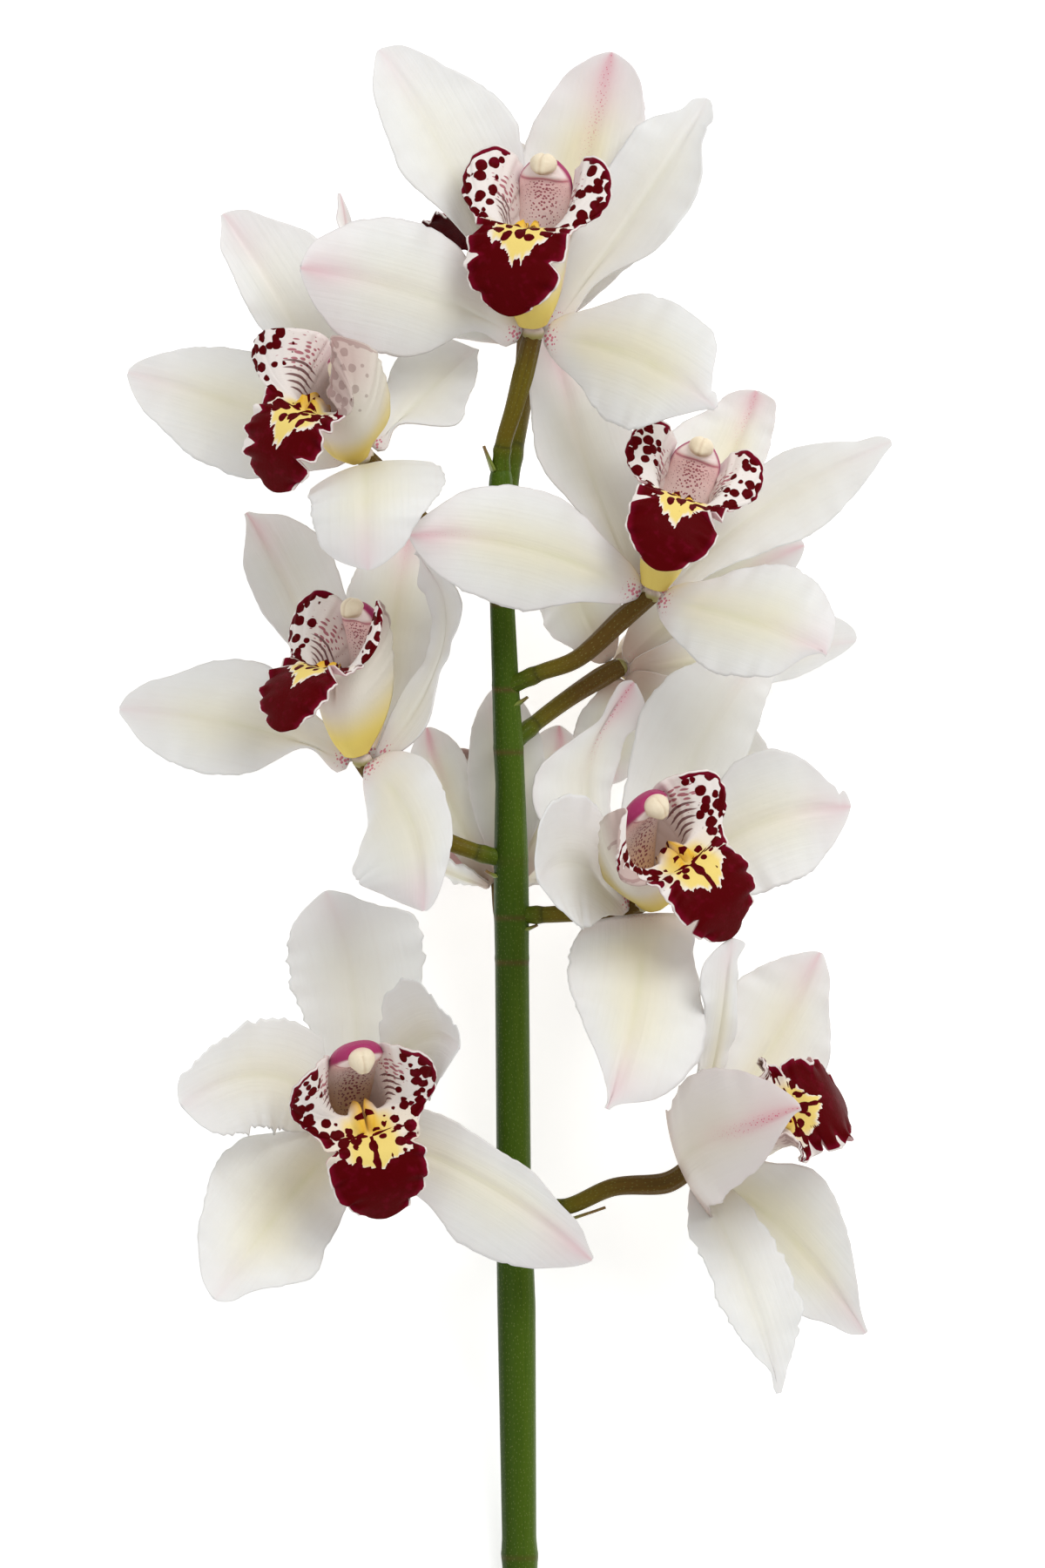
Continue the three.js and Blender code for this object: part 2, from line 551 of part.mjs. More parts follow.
function antherCap(bloom) {
  const end = COLUMN_STATIONS[COLUMN_STATIONS.length - 1];
  const [along, lipwards] = CAP_BEYOND;
  const centre = bloomFrame(bloom).place(end.n + along, end.d + lipwards, 0);
  return oval(bloom, centre, CAP_RADII, CAP_SIDES, CAP_ROWS);
}

function receptacleSolid(bloom, grow) {
  const [across, along] = RECEPTACLE_RADII.map((radius) => radius + grow);
  const radii = [across, along, across];
  return oval(bloom, vector(bloom.base), radii, RECEPTACLE_SIDES, RECEPTACLE_ROWS);
}

// --------------------------------------------------------------------------------- main stem

function stemRings(grow) {
  return STEM.map(([x, y, radius]) => {
    const ring = [];
    for (let i = 0; i < STEM_SIDES; i += 1) {
      const turn = (2 * Math.PI * (i + 0.5)) / STEM_SIDES;
      const out = radius + grow;
      ring.push(new THREE.Vector3(x + out * Math.cos(turn), y, out * Math.sin(turn)));
    }
    return ring;
  });
}

// The middle and radius of the stem at a height.
function stemAt(y) {
  const k = STEM.findIndex((row) => row[1] > y);
  const [x0, y0, r0] = STEM[Math.max(k - 1, 0)];
  const [x1, y1, r1] = STEM[k];
  const u = (y - y0) / (y1 - y0);
  return { x: THREE.MathUtils.lerp(x0, x1, u), radius: THREE.MathUtils.lerp(r0, r1, u) };
}

// A small pointed scale that leans away from the stem under a pedicel.
function bract({ y, side, reach }, grow) {
  const out = vector(side).normalize();
  const { x, radius } = stemAt(y);
  const across = new THREE.Vector3(0, 1, 0).cross(out);
  const surface = (s, t) => {
    const half = Math.max(TIP_HALF, BRACT_HALF * (1 - t) ** BRACT_TAPER);
    const p = new THREE.Vector3(x, y + t * reach[1], 0);
    p.addScaledVector(out, radius - BRACT_SUNK + t * reach[0]);
    return p.addScaledVector(across, s * half);
  };
  return toManifold(blade(surface, BRACT_FACETS, BRACT_FACETS, BRACT_THICKNESS, grow));
}

// ------------------------------------------------------------------------------------ assembly

const growing = new THREE.Group();

function addPiece(name, manifold, finish) {
  const material = new THREE.MeshStandardMaterial({ ...FINISH[finish], metalness: 0 });
  const mesh = new THREE.Mesh(toGeometry(manifold), material);
  mesh.name = name;
  growing.add(mesh);
}

const stemSolid = (grow) => BRACTS.reduce(
  (sum, row) => sum.add(bract(row, grow)),
  toManifold(skin(stemRings(grow))),
);
const stemRoom = stemSolid(GAP);
addPiece('main_stem', stemSolid(0), 'stem');

for (const bloom of BLOOMS) {
  const receptacleRoom = receptacleSolid(bloom, GAP);

  const way = [...bloom.pedicel, bloom.base].map(vector);
  const pedicelSolid = (grow) => toManifold(
    tube(way, PEDICEL_RADII.map((radius) => radius + grow), PEDICEL_SIDES, PEDICEL_STEPS),
  );
  const pedicel = largest(pedicelSolid(0).subtract(stemRoom).subtract(receptacleRoom));
  addPiece(`${bloom.name}_pedicel`, pedicel, 'pedicel');

  const column = (grow) => toManifold(skin(columnRings(bloom, grow)));
  const columnRoom = column(GAP);
  addPiece(`${bloom.name}_column`, column(0), 'column');
  addPiece(`${bloom.name}_anther_cap`, largest(antherCap(bloom).subtract(columnRoom)), 'cap');

  const lip = (grow) => toManifold(
    blade(lipSurface(bloom), LIP_ACROSS, LIP_ROWS.length - 1, LIP_THICKNESS, grow),
  );
  const lipSolid = largest(lip(0).subtract(columnRoom).subtract(receptacleRoom));
  addPiece(`${bloom.name}_lip`, lipSolid, 'lip');

  const blades = bloom.tepals.map((tepal) => toManifold(
    blade(tepalSurface(bloom, tepal), TEPAL_ACROSS, TEPAL_ALONG, TEPAL_THICKNESS),
  ));
  const rooms = wasm.Manifold.union([columnRoom, lip(GAP), pedicelSolid(GAP)]);
  const tepals = wasm.Manifold.union(blades).subtract(rooms).add(receptacleSolid(bloom, 0));
  addPiece(`${bloom.name}_tepals`, largest(tepals), 'tepal');
}

growing.rotation.x = LEAN;
growing.updateMatrixWorld(true);
const box = new THREE.Box3().setFromObject(growing, true);
growing.position.set(-(box.min.x + box.max.x) / 2, -(box.min.y + box.max.y) / 2, -box.min.z);

const part = new THREE.Group();
part.add(growing);

export default part;
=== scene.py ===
"""A cut stem of white cymbidium orchids: petals, lips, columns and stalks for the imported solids.

Sizes are in millimetres in a growing frame: +Y up the stem from the first node, +X to the right and
+Z to the side that faces up once the stem lies down. `grown` turns that frame and puts it on the
surface, in metres.
"""

import logging
import math
from dataclasses import dataclass, field
from enum import Enum
from typing import Any, ClassVar

import bpy
import numpy as np
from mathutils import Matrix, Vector


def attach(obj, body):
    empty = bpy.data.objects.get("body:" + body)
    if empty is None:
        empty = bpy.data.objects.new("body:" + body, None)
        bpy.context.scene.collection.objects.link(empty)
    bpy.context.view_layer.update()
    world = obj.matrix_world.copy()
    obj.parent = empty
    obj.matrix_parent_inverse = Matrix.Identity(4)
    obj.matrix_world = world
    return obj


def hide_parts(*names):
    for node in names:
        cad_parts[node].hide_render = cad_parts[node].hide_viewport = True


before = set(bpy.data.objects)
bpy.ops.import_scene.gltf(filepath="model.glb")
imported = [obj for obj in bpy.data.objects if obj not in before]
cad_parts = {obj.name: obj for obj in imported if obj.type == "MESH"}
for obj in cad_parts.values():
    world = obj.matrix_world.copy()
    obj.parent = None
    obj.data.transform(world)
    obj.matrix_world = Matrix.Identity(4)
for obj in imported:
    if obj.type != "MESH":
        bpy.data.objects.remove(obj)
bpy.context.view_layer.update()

log = logging.getLogger("orchid")

Array = np.ndarray
Triple = tuple[float, float, float]
Pair = tuple[float, float]

LEAN = math.radians(14.0)  # how far the stem rises from the surface
SHIFT = np.array([1.756, -164.005, 6.784])  # puts the leaning stem on the surface, in millimetres
MM_PER_METRE = 1000.0
BODY = "root"


# --- small maths ---


def grown(points: Array) -> Array:
    """Turns points of the growing frame by the lean, shifts them and gives metres in the row frame.

    Args:
        points: Places in millimetres, with the three coordinates on the last axis.

    Returns:
        The same places in metres, lying on the surface z = 0.
    """
    c, s = math.cos(LEAN), math.sin(LEAN)
    turn = np.array([[1.0, 0.0, 0.0], [0.0, c, -s], [0.0, s, c]])
    return (points @ turn.T + SHIFT) / MM_PER_METRE


def unit(ways: Array) -> Array:
    """Scales vectors on the last axis to length one."""
    return ways / np.maximum(np.linalg.norm(ways, axis=-1, keepdims=True), 1e-9)


def smooth(low: float, high: float, x: Array) -> Array:
    """Smooth step: 0 below low, 1 above high, 3u^2 - 2u^3 between."""
    u = np.clip((x - low) / (high - low), 0.0, 1.0)
    return u * u * (3.0 - 2.0 * u)


def span(low: float, rise: float, fall: float, high: float, x: Array) -> Array:
    """0 below low, 1 from rise to fall and 0 above high, with a smooth step on each side."""
    return smooth(low, rise, x) * (1.0 - smooth(fall, high, x))


def bump(centre: Array | float, width: Array | float, x: Array) -> Array:
    """Bell curve exp(-((x - centre) / width)^2)."""
    return np.exp(-(((x - centre) / width) ** 2))


def between(rows: Array, t: Array) -> Array:
    """Smooth places between evenly spaced rows, with the slopes of a Catmull-Rom curve.

    Args:
        rows: The rows, one after the other on the first axis.
        t: Places along the rows from 0 to 1.

    Returns:
        One row for each t.
    """
    last = len(rows) - 1
    i = np.minimum((t * last).astype(int), last - 1)
    u = (t * last - i).reshape((-1,) + (1,) * (rows.ndim - 1))
    p0, p1, p2, p3 = (rows[np.clip(i + k, 0, last)] for k in (-1, 0, 1, 2))
    bend = 2 * p0 - 5 * p1 + 4 * p2 - p3 + (3 * p1 - p0 - 3 * p2 + p3) * u
    return p1 + 0.5 * u * (p2 - p0 + u * bend)


def wander(t: Array, seed: int, waves: int = 5, fade: float = 0.6, top: float = 1.9) -> Array:
    """A soft irregular curve: sines of rising frequency with seeded phases, about -1 to 1.

    Args:
        t: Places. The slowest sine has a period of 1.
        seed: Number that sets the phases.
        waves: Number of sines.
        fade: A sine of frequency f is divided by f to this power.
        top: The sum is divided by this.

    Returns:
        The curve at each place.
    """
    phases = np.random.default_rng(seed).uniform(0.0, 2.0 * math.pi, waves)
    sines = (np.sin(2 * math.pi * (k + 1) * t + phases[k]) / (k + 1) ** fade for k in range(waves))
    return sum(sines) / top


def travelled(places: Array) -> Array:
    """Length of the way along the first axis up to each place."""
    steps = np.linalg.norm(np.diff(places, axis=0), axis=-1)
    return np.concatenate([np.zeros_like(steps[:1]), np.cumsum(steps, axis=0)])


def normals(places: Array) -> Array:
    """Directions at right angles to a grid of places: the way across turned into the way along."""
    return unit(np.cross(np.gradient(places, axis=1), np.gradient(places, axis=0)))


def turns(sides: int) -> Array:
    """Even angles round a ring, as one row."""
    return (np.arange(sides) * 2 * math.pi / sides)[None, :]


def ball(rows: int, columns: int, gap: float) -> tuple[Array, Array, Array]:
    """A unit ball as right sin(p) cos(a), forward sin(p) sin(a) and along -cos(p).

    Args:
        rows: Number of polar angles p, from pole to pole.
        columns: Number of angles a round the ball.
        gap: Angle left open at each pole.

    Returns:
        The three parts on the grid, the last as one column.
    """
    polar = np.linspace(gap, math.pi - gap, rows)[:, None]
    turn = turns(columns)
    return np.sin(polar) * np.cos(turn), np.sin(polar) * np.sin(turn), -np.cos(polar)


def vectors(*parts: Array | float) -> Array:
    """Parts that stretch to one grid, side by side on a last axis."""
    return np.stack(np.broadcast_arrays(*parts), axis=-1)


# --- shells ---


def put(name: str, data: bpy.types.ID) -> bpy.types.Object:
    """Makes an object of a mesh, light or camera and puts it in the scene."""
    made = bpy.data.objects.new(name, data)
    bpy.context.scene.collection.objects.link(made)
    return made


@dataclass
class Shell:
    """A closed shell: its places, its faces by number of corners, and its values at each place."""

    points: Array
    faces: list[Array]
    fields: dict[str, Array] = field(default_factory=dict)

    @staticmethod
    def join(shells: list["Shell"]) -> "Shell":
        """Puts shells that have the same fields into one."""
        starts = np.cumsum([0] + [len(shell.points) for shell in shells])
        faces = [f + start for shell, start in zip(shells, starts) for f in shell.faces]
        names = shells[0].fields
        fields = {name: np.concatenate([shell.fields[name] for shell in shells]) for name in names}
        return Shell(np.concatenate([shell.points for shell in shells]), faces, fields)

    def build(self, name: str) -> bpy.types.Object:
        """Makes the mesh object.

        Args:
            name: The object's name.

        Returns:
            The object, smooth shaded, with a colour attribute or a vector attribute for each field.
        """
        mesh = bpy.data.meshes.new(name)
        mesh.vertices.add(len(self.points))
        mesh.vertices.foreach_set("co", self.points.astype(np.float32).ravel())
        corners = np.concatenate([f.ravel() for f in self.faces])
        totals = np.concatenate([np.full(len(f), f.shape[1]) for f in self.faces])
        mesh.loops.add(len(corners))
        mesh.loops.foreach_set("vertex_index", corners.astype(np.int32))
        mesh.polygons.add(len(totals))
        mesh.polygons.foreach_set("loop_start", (np.cumsum(totals) - totals).astype(np.int32))
        mesh.polygons.foreach_set("use_smooth", np.ones(len(totals), bool))
        for key, values in self.fields.items():
            if values.shape[1] == 4:
                attribute = mesh.attributes.new(key, "FLOAT_COLOR", "POINT")
                attribute.data.foreach_set("color", values.astype(np.float32).ravel())
            else:
                attribute = mesh.attributes.new(key, "FLOAT_VECTOR", "POINT")
                attribute.data.foreach_set("vector", values.astype(np.float32).ravel())
        mesh.update(calc_edges=True)
        mesh.validate()
        return put(name, mesh)


def lattice(rows: int, columns: int, start: int = 0, closed: bool = False) -> Array:
    """Corner numbers of the quads of a grid, row after row.

    Args:
        rows: Points along.
        columns: Points across.
        start: Number of the first point.
        closed: Whether the last column joins the first.

    Returns:
        One row of four numbers for each quad.
    """
    j = np.arange(rows - 1)[:, None]
    i = np.arange(columns if closed else columns - 1)[None, :]
    near = start + j * columns + i
    far = start + j * columns + (i + 1) % columns
    return np.stack([near, far, far + columns, near + columns], axis=-1).reshape(-1, 4)


def blade(
    middle: Array, half: Array | float, front: dict[str, Array], back: dict[str, Array]
) -> Shell:
    """A closed blade: the grid moved out along its normal on both faces, and a rim that joins them.

    Args:
        middle: Grid of places, rows along and columns across.
        half: Half thickness, one number or one for each place.
        front: Fields of the face that the normal (along x across) points to.
        back: Fields of the other face.

    Returns:
        The shell, with its places in metres in the row frame.
    """
    rows, columns = middle.shape[:2]
    offset = normals(middle) * np.asarray(half, float)[..., None]
    count = rows * columns
    grid = np.arange(count).reshape(rows, columns)
    rim = np.concatenate([grid[0, :-1], grid[:-1, -1], grid[-1, :0:-1], grid[:0:-1, 0]])
    after = np.roll(rim, -1)
    quads = [lattice(rows, columns), lattice(rows, columns, count)[:, ::-1]]
    quads.append(np.stack([rim, rim + count, after + count, after], axis=-1))
    fields = {
        key: np.concatenate([part.reshape(count, part.shape[-1]) for part in (values, back[key])])
        for key, values in front.items()
    }
    places = np.concatenate([middle + offset, middle - offset]).reshape(-1, 3)
    return Shell(grown(places), quads, fields)


def skin(rings: Array, fields: dict[str, Array]) -> Shell:
    """A closed skin over rings of places, with a fan of triangles at each end.

    Args:
        rings: Places, rings along and places round each ring.
        fields: Values on the same grid.

    Returns:
        The shell, with its places in metres in the row frame.
    """
    rows, columns = rings.shape[:2]
    count = rows * columns
    ends = [rings[0].mean(axis=0), rings[-1].mean(axis=0)]
    around = np.arange(columns)
    after = np.roll(around, -1)
    first = np.stack([after, around, np.full(columns, count)], axis=-1)
    top = (rows - 1) * columns
    last = np.stack([around + top, after + top, np.full(columns, count + 1)], axis=-1)
    points = np.concatenate([rings.reshape(-1, 3), ends])
    values = {
        key: np.concatenate([v.reshape(count, -1), [v[0].mean(axis=0), v[-1].mean(axis=0)]])
        for key, v in fields.items()
    }
    return Shell(grown(points), [lattice(rows, columns, closed=True), first, last], values)


def round_rings(path: Array, radii: Array, sides: int) -> Array:
    """Rings round a path, turned as little as possible from one to the next.

    Args:
        path: Places along the middle.
        radii: Radius at each place, one number or one for each side.
        sides: Number of places round each ring.

    Returns:
        The rings, as path x sides x 3.
    """
    tangents = unit(np.gradient(path, axis=0))
    upright = abs(tangents[0, 2]) > 0.9
    spare = np.array([1.0, 0.0, 0.0]) if upright else np.array([0.0, 0.0, 1.0])
    across = [unit(np.cross(tangents[0], spare))]
    for tangent in tangents[1:]:
        across.append(unit(across[-1] - tangent * np.dot(across[-1], tangent)))
    first = np.array(across)
    second = np.cross(tangents, first)
    turn = turns(sides)[..., None]
    ring = np.cos(turn) * first[:, None] + np.sin(turn) * second[:, None]
    return path[:, None] + ring * radii.reshape(len(path), -1)[..., None]


def painted(
    base: Triple, shape: tuple[int, ...], *coats: tuple[Triple, Array | float]
) -> Array:
    """An even colour over a grid, with coats laid on it one after the other.

    Args:
        base: The even colour.
        shape: Rows and columns of the grid.
        coats: Each coat's colour, and its amount from 0 to 1 at each place.

    Returns:
        The colours. A coat moves them towards its own colour by its amount.
    """
    colours = np.broadcast_to(np.array(base), shape + (3,))
    for colour, amount in coats:
        share = np.clip(amount, 0.0, 1.0)[..., None]
        colours = colours * (1.0 - share) + np.array(colour) * share
    return colours


def with_alpha(colours: Array, alpha: Array | float = 1.0) -> Array:
    """Adds a fourth value to colours."""
    fourth = np.broadcast_to(np.asarray(alpha, float)[..., None], colours.shape[:-1] + (1,))
    return np.concatenate([colours, fourth], axis=-1)


# --- shader maths ---


class Graph:
    """The node tree of one material, with one method that makes every node."""

    def __init__(self, name: str) -> None:
        """Makes an empty material."""
        self.material = bpy.data.materials.new(name)
        self.material.use_nodes = True
        self.tree = self.material.node_tree
        self.tree.nodes.clear()

    def node(
        self,
        kind: str,
        settings: dict[str, Any] | None = None,
        inputs: dict[Any, Any] | None = None,
    ) -> bpy.types.Node:
        """Makes a node.

        Args:
            kind: The node's type.
            settings: Its properties, which are set first.
            inputs: Values, sockets or Value objects by the input's name or number.

        Returns:
            The node.
        """
        made = self.tree.nodes.new(kind)
        for key, value in (settings or {}).items():
            setattr(made, key, value)
        for key, value in (inputs or {}).items():
            socket = made.inputs[key]
            if isinstance(value, Value):
                self.tree.links.new(value.socket, socket)
            elif isinstance(value, bpy.types.NodeSocket):
                self.tree.links.new(value, socket)
            else:
                socket.default_value = value
        return made

    def maths(self, operation: str, first: Any, second: Any) -> "Value":
        """A Math node on two values."""
        made = self.node("ShaderNodeMath", {"operation": operation}, {0: first, 1: second})
        return Value(self, made.outputs[0])

    def field(self, name: str) -> bpy.types.Node:
        """The node that reads one of the mesh's attributes."""
        return self.node("ShaderNodeAttribute", {"attribute_name": name})

    def step(self, value: "Value", low: float, high: float) -> "Value":
        """Smooth step of a value from 0 at low to 1 at high."""
        settings = {"interpolation_type": "SMOOTHSTEP"}
        inputs = {"Value": value, "From Min": low, "From Max": high}
        return Value(self, self.node("ShaderNodeMapRange", settings, inputs).outputs["Result"])

    def mix(self, amount: Any, colour: Any, coat: Triple | bpy.types.NodeSocket) -> Any:
        """Mixes a colour with a coat by an amount."""
        settings = {"data_type": "RGBA", "clamp_factor": True}
        first, second = (
            (*part, 1.0) if isinstance(part, tuple) else part for part in (colour, coat)
        )
        return self.node("ShaderNodeMix", settings, {0: amount, 6: first, 7: second}).outputs[2]

    def scaled(self, vector: bpy.types.NodeSocket, scale: Triple) -> bpy.types.NodeSocket:
        """A vector with each part multiplied."""
        made = self.node("ShaderNodeVectorMath", {"operation": "MULTIPLY"}, {0: vector, 1: scale})
        return made.outputs[0]

    def noise(self, vector: Any, scale: float, detail: float = 2.0) -> "Value":
        """Soft noise about 0.5."""
        inputs = {"Vector": vector, "Scale": scale, "Detail": detail}
        return Value(self, self.node("ShaderNodeTexNoise", None, inputs).outputs[0])

    def cells(
        self, vector: Any, scale: float, randomness: float = 0.9, flat: bool = True
    ) -> "Value":
        """Distance, in the sheet or in space, to the nearest of scattered points, in cells."""
        inputs = {"Vector": vector, "Scale": scale, "Randomness": randomness}
        settings = {"voronoi_dimensions": "2D" if flat else "3D"}
        return Value(self, self.node("ShaderNodeTexVoronoi", settings, inputs).outputs["Distance"])

    def relief(self, height: Any, distance: float, strength: float = 0.5) -> bpy.types.NodeSocket:
        """A normal that follows a height, in metres of relief."""
        inputs = {"Strength": strength, "Distance": distance, "Height": height}
        return self.node("ShaderNodeBump", None, inputs).outputs[0]

    def finish(self, inputs: dict[str, Any]) -> bpy.types.Material:
        """Ends the tree with the surface shader and gives the material."""
        shader = self.node("ShaderNodeBsdfPrincipled", None, inputs)
        self.node("ShaderNodeOutputMaterial", None, {"Surface": shader.outputs[0]})
        return self.material


class Value:
    """A number socket that can be used in Python expressions."""

    def __init__(self, graph: Graph, socket: bpy.types.NodeSocket) -> None:
        """Wraps a socket."""
        self.graph = graph
        self.socket = socket

    def __add__(self, other: Any) -> "Value":
        """Sum."""
        return self.graph.maths("ADD", self, other)

    __radd__ = __add__

    def __mul__(self, other: Any) -> "Value":
        """Product."""
        return self.graph.maths("MULTIPLY", self, other)

    __rmul__ = __mul__

    def __sub__(self, other: Any) -> "Value":
        """Difference."""
        return self.graph.maths("SUBTRACT", self, other)

    def __rsub__(self, other: Any) -> "Value":
        """Difference from a number."""
        return self.graph.maths("SUBTRACT", other, self)


# --- finishes ---


class Tissue(Enum):
    """The record's material slots."""

    STEM = "stem"
    PEDICEL = "pedicel"
    TEPAL = "tepal"
    LIP = "lip"
    COLUMN = "column"
    CAP = "cap"


@dataclass(frozen=True)
class PetalFinish:
    """Waxy petal: painted tint, fine length veins, a soft mottle, and red specks where painted."""

    roughness: float = 0.42
    vein_pitch: float = 1.1
    relief: float = 0.00035
    mottle_colour: Triple = (0.66, 0.62, 0.55)
    vein_colour: Triple = (0.64, 0.55, 0.48)
    speck_colour: Triple = (0.58, 0.07, 0.16)

    def material(self) -> bpy.types.Material:
        """Makes the material."""
        g = Graph("waxy_petal")
        sheet = g.field("sheet").outputs["Vector"]
        tint = g.field("tint")
        drift = g.scaled(sheet, (1.0 / self.vein_pitch, 0.03, 1.0))
        veins = g.noise(drift, 1.0, 3.0)
        mottle = g.noise(sheet, 0.22, 3.0)
        specks = g.step(Value(g, tint.outputs["Alpha"]) - g.cells(sheet, 1.1), 0.0, 0.1)
        shade = g.mix(g.step(mottle, 0.3, 0.75) * 0.10, tint.outputs["Color"], self.mottle_colour)
        lined = g.mix(g.step(veins, 0.5, 0.8) * 0.08, shade, self.vein_colour)
        colour = g.mix(specks * 0.8, lined, self.speck_colour)
        normal = g.relief(veins * 0.7 + mottle * 0.6, self.relief)
        return g.finish({
            "Base Color": colour,
            "Roughness": mottle * 0.16 + (self.roughness - 0.08),
            "Normal": normal,
            "Specular IOR Level": 0.3,
            "Subsurface Weight": 0.12,
            "Subsurface Radius": (0.0025, 0.0023, 0.002),
            "Subsurface Scale": 1.0,
        })


@dataclass(frozen=True)
class LipFinish:
    """Lip: painted ground, crimson blotches where painted, fine dots and throat stripes."""

    roughness: float = 0.42
    relief: float = 0.0002
    blotch_scale: float = 0.37
    dot_scale: float = 0.95
    crimson: Triple = (0.088, 0.0004, 0.0016)
    edge_colour: Triple = (0.25, 0.004, 0.03)
    dot_colour: Triple = (0.36, 0.03, 0.075)
    line_colour: Triple = (0.11, 0.008, 0.012)

    def material(self) -> bpy.types.Material:
        """Makes the material."""
        g = Graph("spotted_lip")
        sheet = g.field("sheet").outputs["Vector"]
        rim = g.node("ShaderNodeSeparateXYZ", None, {0: g.field("rim").outputs["Vector"]})
        ground = g.field("tint")
        marks = g.field("marks")
        split = g.node("ShaderNodeSeparateColor", None, {0: marks.outputs["Color"]})
        reach, dots, stripes = (Value(g, split.outputs[k]) for k in range(3))
        gap = Value(g, rim.outputs[0])
        wobble = g.noise(sheet, 0.8, 2.0)
        band = Value(g, marks.outputs["Alpha"]) * (1.0 - g.step(gap + wobble * 1.2, 1.5, 2.0))
        cells = g.cells(g.field("body").outputs["Vector"], self.blotch_scale, 0.7, False) * 0.92
        blotches = g.step(reach + band + wobble * 0.16 - 0.08 - cells, -0.01, 0.02)
        blotches = blotches * g.step(gap, 0.3, 0.55)
        fine = g.step(dots - g.cells(sheet, self.dot_scale), 0.0, 0.09)
        wave = g.node("ShaderNodeTexWave", {"bands_direction": "X"}, {
            "Vector": g.scaled(sheet, (1.0, 0.05, 0.0)), "Scale": 0.19, "Distortion": 0.8,
            "Detail": 2.0, "Detail Scale": 0.6,
        })
        lines = g.step(Value(g, wave.outputs[1]) + stripes, 1.45, 1.62)
        depth = g.noise(sheet, 0.5, 2.0)
        grain = g.noise(sheet, 2.2, 2.0)
        paler = g.step(depth, 0.5, 0.85) * 0.3 + (1.0 - g.step(gap, 0.5, 2.4)) * 0.45
        red = g.mix(paler, self.crimson, self.edge_colour)
        strength = Value(g, ground.outputs["Alpha"])
        colour = g.mix(fine * strength * 0.8, ground.outputs["Color"], self.dot_colour)
        colour = g.mix(lines * strength * 0.85, colour, self.line_colour)
        colour = g.mix(blotches * strength, colour, red)
        return g.finish({
            "Base Color": colour,
            "Roughness": grain * 0.12 + self.roughness,
            "Normal": g.relief(grain * 0.8 + blotches * 0.25, self.relief),
            "Specular IOR Level": 0.03,
        })


@dataclass(frozen=True)
class ColumnFinish:
    """Column: painted tint with crimson dots on its face."""

    roughness: float = 0.33
    relief: float = 0.0003
    dot_colour: Triple = (0.30, 0.01, 0.045)

    def material(self) -> bpy.types.Material:
        """Makes the material."""
        g = Graph("dotted_column")
        sheet = g.field("sheet").outputs["Vector"]
        tint = g.field("tint")
        dots = g.step(Value(g, tint.outputs["Alpha"]) - g.cells(sheet, 1.1), 0.0, 0.06)
        grain = g.noise(sheet, 0.8, 3.0)
        colour = g.mix(dots * 0.85, tint.outputs["Color"], self.dot_colour)
        return g.finish({
            "Base Color": colour,
            "Roughness": grain * 0.15 + self.roughness,
            "Normal": g.relief(grain, self.relief),
            "Specular IOR Level": 0.15,
            "Subsurface Weight": 0.08,
            "Subsurface Radius": (0.002, 0.001, 0.001),
            "Subsurface Scale": 1.0,
        })


@dataclass(frozen=True)
class CapFinish:
    """Anther cap: matt cream with a faint grain."""

    roughness: float = 0.4
    relief: float = 0.0002
    grain_colour: Triple = (0.72, 0.56, 0.36)

    def material(self) -> bpy.types.Material:
        """Makes the material."""
        g = Graph("cream_cap")
        sheet = g.field("sheet").outputs["Vector"]
        tint = g.field("tint").outputs["Color"]
        grain = g.noise(sheet, 1.2, 3.0)
        return g.finish({
            "Base Color": g.mix(g.step(grain, 0.35, 0.8) * 0.25, tint, self.grain_colour),
            "Roughness": grain * 0.2 + self.roughness,
            "Normal": g.relief(grain, self.relief),
        })


@dataclass(frozen=True)
class StalkFinish:
    """Stalk: painted tint, fine length lines, pores and a waxy gloss."""

    name: str
    roughness: float = 0.34
    line_colour: Triple = (0.03, 0.07, 0.005)
    pore_colour: Triple = (0.3, 0.34, 0.12)
    relief: float = 0.0003

    def material(self) -> bpy.types.Material:
        """Makes the material."""
        g = Graph(self.name)
        sheet = g.field("sheet").outputs["Vector"]
        tint = g.field("tint").outputs["Color"]
        lines = g.noise(g.scaled(sheet, (1.6, 0.05, 1.0)), 1.0, 3.0)
        mottle = g.noise(sheet, 0.35, 4.0)
        pores = g.step(0.16 - g.cells(g.scaled(sheet, (1.0, 0.55, 1.0)), 1.3), 0.0, 0.08)
        colour = g.mix(g.step(lines, 0.45, 0.75) * 0.35, tint, self.line_colour)
        colour = g.mix(pores * 0.25, colour, self.pore_colour)
        return g.finish({
            "Base Color": colour,
            "Roughness": mottle * 0.2 + (self.roughness - 0.1),
            "Normal": g.relief(lines * 0.8 + mottle * 0.5, self.relief),
            "Specular IOR Level": 0.07,
        })


# --- bloom organs ---


Widths = tuple[float, float, float, float, float, float, float]
Shares = tuple[float, float, float, float]
EVEN_SHARES = (0.58, 0.91, 1.0, 0.96, 0.83, 0.61, 0.33)  # a regular oval's widths, claw to tip


